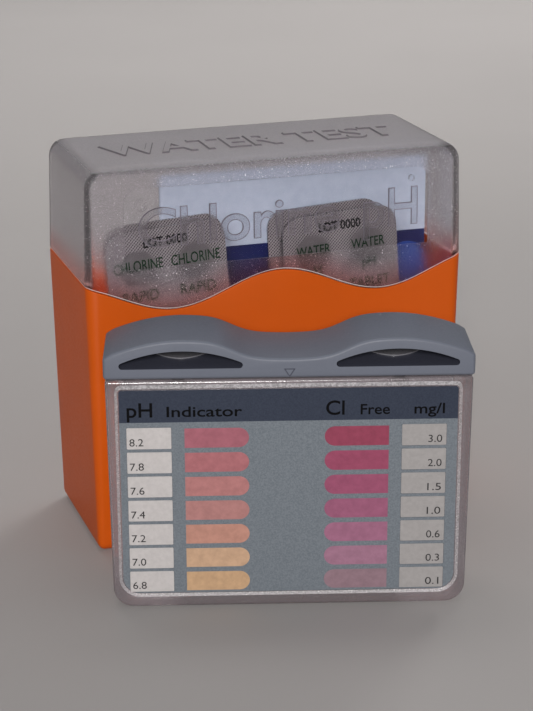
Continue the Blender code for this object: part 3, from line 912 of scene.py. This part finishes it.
def ring_mark(x, z, radius, line, front, back):
    """A small upright ring, as a closed turned band."""
    steps = 28
    points = []
    for r, y in ((radius - line, front), (radius - line, back), (radius, back), (radius, front)):
        points += [(px + x, y, pz + z) for px, pz in arc((0.0, 0.0), r, 0, 360, steps)[:-1]]
    faces = []
    for side in range(4):
        low = side * steps
        high = ((side + 1) % 4) * steps
        for index in range(steps):
            after = (index + 1) % steps
            faces.append((low + index, low + after, high + after, high + index))
    mesh = bpy.data.meshes.new("ring")
    mesh.from_pydata(points, [], faces)
    return mesh


def lid_window_tool():
    """The sunk window in the lid's front, as a cutter."""
    half = WINDOW_HALF_WIDTH
    radius = WINDOW_RADIUS
    outline = [(-half, WINDOW_FOOT), (half, WINDOW_FOOT)]
    outline += arc((half - radius, WINDOW_HEAD - radius), radius, 0, 90, 10)
    outline += arc((radius - half, WINDOW_HEAD - radius), radius, 90, 180, 10)
    face = -CASE_DEPTH / 2
    tool = lean_with_front(slab_mesh("window", outline, face - 2 * PAST, face + WINDOW_SINK))
    for polygon in tool.polygons:
        # The window's walls take the dark letter-side finish: painted shade along the step.
        polygon.material_index = POLISHED if abs(polygon.normal.y) > 0.9 else SHADED_LETTER_SIDES
    return tool


def raised_letters(text, ends, base, height, levels, front, sides, upright=False):
    """Letters on a slightly wider, lower step that draws their outline in painted shade on its sides.
    levels: foot, step and face.
    """
    foot, step, top = levels
    wide = text_mesh(text, *ends, base, height, foot, step, OUTLINE_WEIGHT)
    face = text_mesh(text, *ends, base, height, foot, top, FACE_WEIGHT)
    for mesh, lit in ((wide, sides), (face, front)):
        for polygon in mesh.polygons:
            polygon.material_index = lit if abs(polygon.normal.z) > 0.9 else sides
        if upright:
            mesh.transform(UPRIGHT)
    return wide, face


def lid_letters():
    """The window's raised letters, almost flush with the lid's face, and its ring marks."""
    front = LETTER_SINK - CASE_DEPTH / 2
    back = 3 * WINDOW_SINK - CASE_DEPTH / 2
    levels = (-back, -front - OUTLINE_STEP, -front)
    looks = (LETTER_FACES, SHADED_LETTER_SIDES, True)
    words = (("Chlorine", CHLORINE_SPAN), ("pH", PH_SPAN))
    pairs = [raised_letters(text, ends, LETTER_BASE, LETTER_HEIGHT, levels, *looks) for text, ends in words]
    steps, faces = [list(layer) for layer in zip(*pairs)]
    faces += [ring_mark(*mark, front, back) for mark in RING_MARKS]
    return [lean_with_front(join_meshes("letters", layer)) for layer in (steps, faces)]


def top_letters():
    """The raised words on the lid's top."""
    levels = [CASE_HEIGHT + TOP_LETTER_RISE * share for share in (-1.0, 0.5, 1.0)]
    place = (TOP_LETTER_SPAN, TOP_LETTER_BASE, TOP_LETTER_HEIGHT)
    return raised_letters("WATER TEST", *place, levels, FROSTED, SHADED_TOP_LETTER_SIDES)


def lid_surfaces():
    """The lid's six finishes, in the order of their slots."""
    lamp = (0.76, 0.75, 0.76)
    # The shell's glow colour is the orange rim's light, painted near the parting line.
    shell = {"haze": 0.03, "change": 0.14, "gloss": 0.45, "painted_glow": (0.80, 0.20, 0.17), "top": 0.26}
    letters = {"haze": 0.02, "change": 0.08, "gloss": 0.45}
    return (
        clear("lid_frosted", (0.77, 0.74, 0.77), 0.25, 2600.0, 0.00008, lamp, **shell),
        clear("lid_polished", (0.86, 0.85, 0.87), 0.03, 300.0, 0.000004, lamp, gloss=0.20),
        clear("lid_letter_faces", (0.64, 0.63, 0.66), 0.16, 2300.0, 0.00010, lamp, **letters),
        # The letters' sides, and the top letters' sides below, are dark with painted shade.
        clear("lid_letter_sides_painted_shade", (0.105, 0.090, 0.115), 0.50, 2300.0, 0.00004, lamp, 0.95, 0.10),
        # The rim is whitish and hazy: a painted highlight along the wavy foot.
        clear("lid_rim_painted_highlight", (0.92, 0.86, 0.85), 0.30, 2300.0, 0.00006, lamp, 0.90),
        clear("lid_top_letter_sides_painted_shade", (0.20, 0.18, 0.20), 0.40, 2300.0, 0.00004, lamp, 0.60, 0.10),
    )


def make_lid():
    """The clear lid: frosted outside, polished inside, with its window and raised letters."""
    inner_side = LID_SIDE_TOP_RADIUS - LID_TOP_WALL
    inner_front = LID_FRONT_TOP_RADIUS - LID_TOP_WALL
    rings = dome_rings(inner_side, inner_front, LID_TOP_WALL, CASE_HEIGHT - LID_TOP_WALL, 10)
    rings.reverse()
    rings.append(flat_ring(LID_WALL, SIDE_PARTING))
    rings.append(flat_ring(SKIRT_FOOT_WALL, REBATE_HEIGHT + GAP))
    rings.append(flat_ring(RIM_WALL + GAP, REBATE_HEIGHT + GAP))
    inner_count = len(rings)
    rings.append(wavy_ring(RIM_WALL + GAP, PARTING_GAP))
    for inward, up in reversed(quarter_round(3)):
        rings.append(wavy_ring(LID_EDGE_RADIUS * inward, PARTING_GAP + LID_EDGE_RADIUS * up))
    rim_count = len(rings) - 1
    rings += dome_rings(LID_SIDE_TOP_RADIUS, LID_FRONT_TOP_RADIUS, 0.0, CASE_HEIGHT, 12)
    mesh = loft_mesh("lid_shell", rings)
    loop = len(rings[0])
    for polygon in mesh.polygons[: 1 + inner_count * loop]:
        polygon.material_index = POLISHED
    # The foot's faces take the rim finish, a painted highlight line along the wave.
    for polygon in mesh.polygons[1 + inner_count * loop : 1 + rim_count * loop]:
        polygon.material_index = HIGHLIT_LID_RIM
    for surface in lid_surfaces():
        mesh.materials.append(surface)
    mesh = boolean(mesh, lid_window_tool(), "DIFFERENCE")
    for letters in (*lid_letters(), *top_letters()):
        mesh = boolean(mesh, letters, "UNION")
    piece("lid_shell", mesh, None, "lid", ["case_lid"])


# ---------------------------------------------------------------- comparator


def panel_outline(low_half, high_half, low, high, low_radius, high_radius):
    """An upright panel's outline in XZ: rounded corners, and sides that may lean."""
    points = arc((low_half - low_radius, low + low_radius), low_radius, -90, 0, 12)
    points += arc((high_half - high_radius, high - high_radius), high_radius, 0, 90, 12)
    points += [(-x, z) for x, z in reversed(points)]
    return points


def card_outline(margin):
    """The printed card's outline, grown by a margin."""
    half = CARD_HALF_WIDTH + margin
    heights = (CARD_BOTTOM - margin, CARD_TOP + margin)
    outline = panel_outline(half, half, *heights, CARD_FOOT_RADIUS + margin, CARD_TOP_RADIUS + margin)
    return shifted(outline, CARD_SHIFT, 0.0)


def recess_tool(half_depth, matrix):
    """A card recess whose mouth flares into a lip with a painted highlight, as a cutter along +Z before its
    turn.
    """
    narrow = card_outline(GAP)
    rings = []
    for height, grown in ((-RECESS_DEPTH, 0.0), (-LIP_DEPTH, 0.0), (0.0, LIP_WIDTH)):
        rings.append([(x, z, half_depth + height) for x, z in moved_in(narrow, -grown)])
    mouth = [(x, z + UPPER_LIP_EXTRA if z > CARD_TOP else z, y) for x, z, y in rings.pop()]
    rings += [mouth, [(x, z, y + PAST) for x, z, y in mouth]]
    tool = loft_mesh("recess", rings, matrix)
    for polygon in tool.polygons:
        if FLARE_LEAST < abs(polygon.normal.y) < FLARE_MOST:
            polygon.material_index = HIGHLIT_UPPER_LIP if polygon.center.z > CARD_TOP else HIGHLIT_LIP
    return tool


def make_comparator_block():
    """The clear block with its three chambers and the recesses for the card and the diffuser."""
    half_depth = COMPARATOR_DEPTH / 2
    widths = (BODY_FOOT_HALF_WIDTH, BODY_TOP_HALF_WIDTH)
    outline = panel_outline(*widths, 0.0, BODY_HEIGHT, BODY_FOOT_RADIUS, BODY_TOP_RADIUS)
    block = slab_mesh("comparator_block", outline, -half_depth, half_depth, EDGE_RADIUS, EDGE_RADIUS)
    spaces = []
    for centre, width in ((-CELL_CENTRE, CELL_WIDTH), (0.0, BLANK_WIDTH), (CELL_CENTRE, CELL_WIDTH)):
        plan = rounded_rectangle(width / 2, CHAMBER_DEPTH / 2, CHAMBER_RADIUS, corner_steps=6)
        plan = shifted(plan, centre, 0.0)
        spaces.append(prism_mesh("space", plan, CHAMBER_FLOOR, BODY_HEIGHT + PAST, CHAMBER_FLOOR_RADIUS))
    for matrix in (UPRIGHT, Matrix.Rotation(math.pi, 4, "Z") @ UPRIGHT):
        spaces.append(recess_tool(half_depth, matrix))
    block_lamp = (0.88, 0.86, 0.87)
    lip_lamp = (0.90, 0.88, 0.89)
    for surface in (
        clear("comparator_plastic", (0.38, 0.345, 0.365), 0.16, 1500.0, 0.00004, block_lamp, 0.30),
        # The lips are paler copies of the block's plastic: a painted highlight around the card.
        clear("comparator_lip_painted_highlight", (0.72, 0.69, 0.71), 0.25, 2600.0, 0.00014, lip_lamp, 0.40, 0.30),
        clear("comparator_upper_lip_painted_highlight", (0.52, 0.51, 0.53), 0.22, 1600.0, 0.00020, lip_lamp, 0.80, 0.35),
    ):
        block.materials.append(surface)
    mesh = boolean(block, join_meshes("spaces", spaces), "DIFFERENCE")
    piece("comparator_block", mesh, None, "comparator", ["comparator_body"])


def row_middle(row):
    """Height of a scale row's middle."""
    return FIRST_ROW_TOP - WINDOW_ROW_HEIGHT / 2 - row * ROW_PITCH


def window_slabs(centre, margin, front, back):
    """A column of slabs, one in each window row, smaller than the windows by a margin."""
    half_x = WINDOW_ROW_WIDTH / 2 - margin
    half_z = WINDOW_ROW_HEIGHT / 2 - margin
    outline = rounded_rectangle(half_x, half_z, WINDOW_ROW_RADIUS, corner_steps=3)
    places = [shifted(outline, centre, row_middle(row)) for row in range(ROW_COUNT)]
    return [slab_mesh("row", place, front, back) for place in places]


def make_card():
    """The printed card with its window openings."""
    back = CARD_FRONT + CARD_THICKNESS
    card = slab_mesh("scale_sheet", card_outline(0.0), CARD_FRONT, back)
    openings = []
    for centre in WINDOW_CENTRES:
        openings += window_slabs(centre, 0.0, CARD_FRONT - PAST, back + PAST)
    mesh = boolean(card, join_meshes("openings", openings), "DIFFERENCE")
    mesh.materials.clear()
    piece("scale_sheet", mesh, card_surface(), "comparator", ["scale_card"])


def make_window_films():
    """The milky film in each window, one piece for each column."""
    front = CARD_FRONT + FILM_MARGIN
    for side, centre, tone in zip(("left", "right"), WINDOW_CENTRES, FILM_TONES):
        name = f"window_films_{side}"
        mesh = join_meshes(name, window_slabs(centre, FILM_MARGIN, front, front + FILM_THICKNESS))
        tint = (tone, tone * 0.96, tone * 0.95)
        milky = clear(name, tint, 0.45, 900.0, 0.00002, (0.80, 0.80, 0.80), 0.80, 0.05)
        piece(name, mesh, milky, "comparator")


def patch_outline(left, right, round_right):
    """A bar with one square end and one round end, about z = 0."""
    radius = PATCH_HEIGHT / 2
    outline = [(left, -radius), *arc((right - radius, 0.0), radius, -90, 90, 16), (left, radius)]
    if round_right:
        return outline
    return [(left + right - x, z) for x, z in reversed(outline)]


def ink_front(behind=0.0):
    """Front and back of a printed layer that lies on the card, or deeper behind it."""
    back = CARD_FRONT - INK_LIFT + behind
    return back - INK_THICKNESS, back


def make_patches():
    """The two columns of reference colours."""
    columns = (("ph", PH_PATCH, True, PH_COLOURS), ("cl", CL_PATCH, False, CL_COLOURS))
    for label, (left, right), round_right, colours in columns:
        for row, colour in enumerate(colours):
            name = f"patch_{label}_{row + 1}"
            outline = shifted(patch_outline(left, right, round_right), 0.0, row_middle(row))
            mesh = slab_mesh(name, outline, *ink_front())
            piece(name, mesh, patch_surface(name, colour), "comparator")


def make_card_text():
    """The headings in the band, and the numbers at the windows."""
    headings = [
        upright_text(text, left, right, HEADING_BASE, height, *ink_front(), PRINT_WEIGHT)
        for text, left, right, height in HEADINGS
    ]
    ph_left = WINDOW_CENTRES[0] - WINDOW_ROW_WIDTH / 2 + PH_NUMBER_MARGIN
    cl_left = WINDOW_CENTRES[1] + WINDOW_ROW_WIDTH / 2 - CL_NUMBER_MARGIN - NUMBER_WIDTH
    numbers = []
    for row in range(ROW_COUNT):
        size = (row_middle(row) - NUMBER_DROP, NUMBER_HEIGHT, *ink_front(FILM_MARGIN))
        for text, left in ((PH_NUMBERS[row], ph_left), (CL_NUMBERS[row], cl_left)):
            numbers.append(upright_text(text, left, left + NUMBER_WIDTH, *size))
    black = ink_surface("black_ink", (0.001, 0.001, 0.002))
    grey = ink_surface("grey_ink", (0.035, 0.034, 0.036))
    for name, meshes, ink in (("scale_headings", headings, black), ("scale_numbers", numbers, grey)):
        piece(name, join_meshes(name, meshes), ink, "comparator")


def cap_top(x):
    """Height of the cap's wavy top: a trough in the middle and a hump at each side."""
    away = abs(x)
    climb = 0.5 * (1 + math.tanh((away - CAP_FLANK_X) / CAP_FLANK_LENGTH))
    fall = CAP_SHOULDER_FALL * max(away - CAP_HUMP_X, 0.0) ** 2
    return CAP_TROUGH + CAP_HUMP_RISE * climb - fall


def cap_outline():
    """The cap's front outline: flat foot, upright ends and the wavy top."""
    radius = CAP_END_RADIUS
    half = CAP_HALF_WIDTH
    points = arc((half - radius, CAP_BOTTOM + radius), radius, -90, 0, 6)
    shoulder = cap_top(half)
    points += arc((half - radius, shoulder - radius), radius, 0, 60, 5)
    reach = half - 2 * radius
    steps = 150
    across = [reach * (1 - 2 * step / steps) for step in range(steps + 1)]
    points += [(x, cap_top(x)) for x in across]
    points += arc((radius - half, shoulder - radius), radius, 120, 180, 5)
    points += arc((radius - half, CAP_BOTTOM + radius), radius, 180, 270, 6)
    return points


def crescent_outline(side):
    """One crescent recess: a flat floor under a shallow arch, with rounded ends."""
    radius = (CRESCENT_HALF_WIDTH**2 + CRESCENT_RISE**2) / (2 * CRESCENT_RISE)
    end = CRESCENT_END_RADIUS
    middle = CRESCENT_FLOOR + CRESCENT_RISE - radius
    reach = radius - end
    low = CRESCENT_FLOOR + end
    half = math.sqrt(reach**2 - (low - middle) ** 2)
    spread = math.degrees(math.atan2(half, low - middle))
    points = arc((half, low), end, -90, 90 - spread, 8)
    points += arc((0.0, middle), radius, 90 - spread, 90 + spread, 40)
    points += arc((-half, low), end, 90 + spread, 270, 8)
    return shifted(points, side * CRESCENT_CENTRE, 0.0)


def mark_tools():
    """The engraved triangle at the cap's middle, as three short strokes."""
    face = -COMPARATOR_DEPTH / 2
    corners = [(-MARK_HALF_WIDTH, MARK_TOP), (0.0, MARK_TIP), (MARK_HALF_WIDTH, MARK_TOP)]
    strokes = []
    for start, end in zip(corners, corners[1:] + corners[:1]):
        along = (Vector(end) - Vector(start)).normalized() * (MARK_LINE / 2)
        across = Vector((-along.y, along.x))
        near = Vector(start) - along
        far = Vector(end) + along
        outline = [near - across, far - across, far + across, near + across]
        strokes.append(slab_mesh("stroke", outline, face - PAST, face + MARK_SINK))
    return strokes


def highlight_pad_mesh(side):
    """A pale pad on a crescent's floor that paints a highlight there: straight at the back and bowed
    towards the front.
    """
    steps = 24
    front = -COMPARATOR_DEPTH / 2
    outline = []
    for step in range(steps + 1):
        share = 2 * step / steps - 1
        deep = PAD_FRONT + (PAD_BACK - PAD_FRONT) * share * share
        outline.append((side * CRESCENT_CENTRE + PAD_HALF_WIDTH * share, front + deep))
    low = CRESCENT_FLOOR + INK_LIFT
    return prism_mesh("pad", outline, low, low + PAD_RISE)


def make_cap():
    """The grey cap with its two crescent recesses and the engraved mark."""
    half_depth = COMPARATOR_DEPTH / 2
    mesh = slab_mesh("cap_shell", cap_outline(), -half_depth, half_depth, EDGE_RADIUS, EDGE_RADIUS)
    mesh.materials.append(moulded("cap_plastic", (0.136, 0.150, 0.187), 0.45, 1300.0, 0.00003, gloss=0.30))
    # The recesses' finish is darker: painted shade inside the crescents and the mark.
    mesh.materials.append(moulded("cap_recess_painted_shade", (0.070, 0.075, 0.105), 0.40, 900.0, 0.00002, 0.10, 0.4))
    crescents = [
        slab_mesh("crescent", crescent_outline(side), -half_depth - PAST, CRESCENT_DEPTH - half_depth)
        for side in (-1, 1)
    ]
    for tool in (join_meshes("crescents", crescents), *mark_tools()):
        for polygon in tool.polygons:
            polygon.material_index = CAP_SHADED_RECESS
        mesh = boolean(mesh, tool, "DIFFERENCE")
    piece("cap_shell", mesh, None, "cap", ["comparator_cap"])
    # Pale pads on the crescents' floors paint a highlight there.
    pale = moulded("cap_painted_highlight_pad_plastic", (0.20, 0.20, 0.22), 0.30, 900.0, 0.00002, 0.06)
    for side, label in ((-1, "left"), (1, "right")):
        piece(f"cap_painted_highlight_pad_{label}", highlight_pad_mesh(side), pale, "cap")


# ---------------------------------------------------------------- leaflet and strips


def make_leaflet():
    """The folded cover, with a smooth fold on its left."""
    radius = LEAFLET_FOLD_RADIUS
    middle = LEAFLET_LOW.y + radius
    fold = LEAFLET_LOW.x + radius
    right = LEAFLET_HIGH.x
    outer = [(right, middle + radius), *arc((fold, middle), radius, 90, 270, 20), (right, middle - radius)]
    inside = radius - COVER_THICKNESS
    inner = [(right, middle - inside), *arc((fold, middle), inside, 270, 90, 20), (right, middle + inside)]
    mesh = prism_mesh("leaflet_sheet", outer + inner, LEAFLET_LOW.z, LEAFLET_HIGH.z)
    piece("leaflet_sheet", mesh, leaflet_surface(), "leaflet", ["leaflet_cover"])


def pocket_centres():
    """Centres of a strip's pockets, row by row from the top."""
    centres = []
    for row in range(POCKET_ROWS):
        for column in range(POCKET_COLUMNS):
            x = (column - (POCKET_COLUMNS - 1) / 2) * POCKET_PITCH_X
            z = ((POCKET_ROWS - 1) / 2 - row) * POCKET_PITCH_Z
            centres.append((x, z))
    return centres


def foil_sag(x, z):
    """How far the foil gives into the pockets, and how much it waves elsewhere."""
    reach = min(math.hypot(x - cx, z - cz) for cx, cz in pocket_centres())
    share = max(0.0, min(1.0, (POCKET_RADIUS - reach) / SAG_WIDTH))
    ripple = noise.noise(Vector((x * RIPPLES_PER_METRE, z * RIPPLES_PER_METRE, 0.0)))
    return SAG_DEPTH * share * share * (3 - 2 * share) + RIPPLE_DEPTH * ripple


def make_foil_mesh():
    """The foil as one closed sheet with a fine grid on each face."""
    columns = 60
    straight = 140
    corner = STRIP_LENGTH / 2 - STRIP_RADIUS
    ends = [(corner + STRIP_RADIUS * math.sin(math.radians(a)), a) for a in (90, 75, 60, 45, 30, 15)]
    rows = [(-z, a) for z, a in ends]
    rows += [(-corner + 2 * corner * step / straight, 0) for step in range(straight + 1)]
    rows += [(z, a) for z, a in reversed(ends)]
    rings = []
    for z, angle in rows:
        half = STRIP_WIDTH / 2 - STRIP_RADIUS * (1 - math.cos(math.radians(angle)))
        across = [half * (2 * column / columns - 1) for column in range(columns + 1)]
        front = [(x, foil_sag(x, z), z) for x in across]
        back = [(x, y + FOIL_THICKNESS, z) for x, y, z in reversed(front)]
        rings.append(front + back)
    return loft_mesh("foil_sheet", rings)


def pocket_prisms(radius, front, back, end_radius):
    """One upright round prism with a rounded back end at each pocket, as one mesh."""
    outline = arc((0.0, 0.0), radius, 0, 360, 40)[:-1]
    prisms = []
    for cx, cz in pocket_centres():
        prisms.append(slab_mesh("pocket", shifted(outline, cx, cz), front, back, 0.0, end_radius))
    return join_meshes("pockets", prisms)


def make_web_mesh():
    """The formed web: a sheet with ten hollow rounded pockets behind it."""
    front = FOIL_THICKNESS + GAP
    back = front + WEB_THICKNESS
    outline = rounded_rectangle(STRIP_WIDTH / 2, STRIP_LENGTH / 2, STRIP_RADIUS, corner_steps=8)
    web = slab_mesh("web_sheet", outline, front, back)
    shell_front = front + WEB_THICKNESS / 2
    shell_radius = POCKET_RADIUS + WEB_THICKNESS
    shells = pocket_prisms(shell_radius, shell_front, back + POCKET_DEPTH, SHELL_END_RADIUS)
    hollows = pocket_prisms(POCKET_RADIUS, front - PAST, front + POCKET_DEPTH, HOLLOW_END_RADIUS)
    return boolean(boolean(web, shells, "UNION"), hollows, "DIFFERENCE")


def strip_text(lines):
    """The lines printed over the pockets."""
    pitch = POCKET_PITCH_Z / len(lines)
    size = (LINE_HEIGHTS[len(lines)], *STRIP_INK, PRINT_WEIGHT)
    meshes = []
    for cx, cz in pocket_centres():
        for number, line in enumerate(lines):
            base = cz - LINE_DROP - number * pitch
            half = min(HALF_LETTER * len(line), HALF_LINE)
            if base >= LINE_MARGIN - STRIP_LENGTH / 2:
                meshes.append(upright_text(line, cx - half, cx + half, base, *size))
    return join_meshes("strip_text", meshes)


def make_strips():
    """Four strips: foil, its print, the web and the tablets."""
    foil = make_foil_mesh()
    web = make_web_mesh()
    outline = arc((0.0, 0.0), TABLET_RADIUS, 0, 360, 36)[:-1]
    front = FOIL_THICKNESS + 2 * GAP
    edges = (TABLET_EDGE_RADIUS, TABLET_EDGE_RADIUS)
    tablet = slab_mesh("pressed_tablet", outline, front, front + TABLET_THICKNESS, *edges)
    code_size = (CODE_BASE, CODE_HEIGHT, *STRIP_INK, CODE_WEIGHT)
    code = upright_text("LOT 0000", -CODE_HALF_WIDTH, CODE_HALF_WIDTH, *code_size)
    foil_look = foil_surface()
    web_look = clear("web_plastic", (0.90, 0.90, 0.90), 0.12, 400.0, 0.00002, (0.94, 0.94, 0.94))
    powder = tablet_surface()
    green = ink_surface("green_ink", (0.006, 0.022, 0.010))
    dark = ink_surface("dark_ink", (0.002, 0.002, 0.003))
    prints = {lines: strip_text(lines) for _, _, lines in STRIPS}
    for name, tilt, lines in STRIPS:
        low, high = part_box(f"{name}_foil")
        centre = (low + high) / 2
        lean = Matrix.Rotation(-math.radians(tilt), 4, "Y")
        place = Matrix.Translation((centre.x, low.y, centre.z)) @ lean
        piece(f"{name}_sheet", foil, foil_look, name, [f"{name}_foil"], place)
        piece(f"{name}_print", prints[lines], green, name, (), place)
        piece(f"{name}_code", code, dark, name, (), place)
        piece(f"{name}_blister", web, web_look, name, [f"{name}_web"], place)
        for number, (cx, cz) in enumerate(pocket_centres(), start=1):
            node = f"{name}_tablet_{number:02d}"
            spot = place @ Matrix.Translation((cx, 0.0, cz))
            piece(f"{name}_pill_{number:02d}", tablet, powder, name, [node], spot)


# ---------------------------------------------------------------- stage


def make_floor():
    """A wide pale table top."""
    half = TABLE_HALF_WIDTH
    corners = [(-half, -half, 0.0), (half, -half, 0.0), (half, half, 0.0), (-half, half, 0.0)]
    mesh = bpy.data.meshes.new("table")
    mesh.from_pydata(corners, [], [(0, 1, 2, 3)])
    mesh.materials.append(floor_surface())
    shown("table", mesh)


def add_light(name, place, target, size, power, spread, gleams):
    """A warm square area light aimed at a point, its spread in degrees. gleams lets it show in gloss."""
    lamp = bpy.data.lights.new(name, "AREA")
    lamp.size = size
    lamp.energy = power
    lamp.color = LIGHT_COLOUR
    lamp.spread = math.radians(spread)
    obj = shown(name, lamp)
    obj.location = place
    obj.rotation_euler = (Vector(target) - Vector(place)).to_track_quat("-Z", "Y").to_euler()
    obj.visible_transmission = False
    obj.visible_glossy = gleams


def make_lights():
    """A soft key from the left in front, a wash over the far table, a back light and a pale surround."""
    for light in LIGHTS:
        add_light(*light)
    world = bpy.data.worlds.new("surround")
    world.use_nodes = True
    ground = world.node_tree.nodes["Background"]
    ground.inputs["Color"].default_value = WORLD_COLOUR
    ground.inputs["Strength"].default_value = WORLD_STRENGTH
    bpy.context.scene.world = world


def make_camera():
    """A long lens from the front, above and a little to the left."""
    data = bpy.data.cameras.new("camera")
    data.lens = CAMERA_LENS
    data.sensor_width = CAMERA_SENSOR
    camera = shown("camera", data)
    yaw = Matrix.Rotation(CAMERA_YAW, 4, "Z")
    tilt = Matrix.Rotation(CAMERA_TILT, 4, "X")
    roll = Matrix.Rotation(CAMERA_ROLL, 4, "Z")
    camera.matrix_world = Matrix.Translation(CAMERA_PLACE) @ yaw @ tilt @ roll
    bpy.context.scene.camera = camera


def repaint(node, surface):
    """Give a carried-over CAD node a better material."""
    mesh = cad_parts[node].data
    mesh.materials.clear()
    mesh.materials.append(surface)


make_base()
make_lid()
make_comparator_block()
make_card()
make_window_films()
make_patches()
make_card_text()
make_cap()
make_leaflet()
make_strips()
repaint("leaflet_pages", pages_surface())
repaint("rear_diffuser", moulded("diffuser_film", (0.78, 0.77, 0.76), 0.55, 900.0, 0.00002, 0.03))
rubber = moulded("seal_rubber_soft", (0.13, 0.115, 0.125), 0.55, 1200.0, 0.00003)
for side in ("left", "centre", "right"):
    repaint(f"seal_{side}", rubber)
make_floor()
make_lights()
make_camera()
scene = bpy.context.scene
scene.view_settings.view_transform = "Standard"
scene.cycles.max_bounces = 16
scene.cycles.transmission_bounces = 16
scene.cycles.transparent_max_bounces = 24
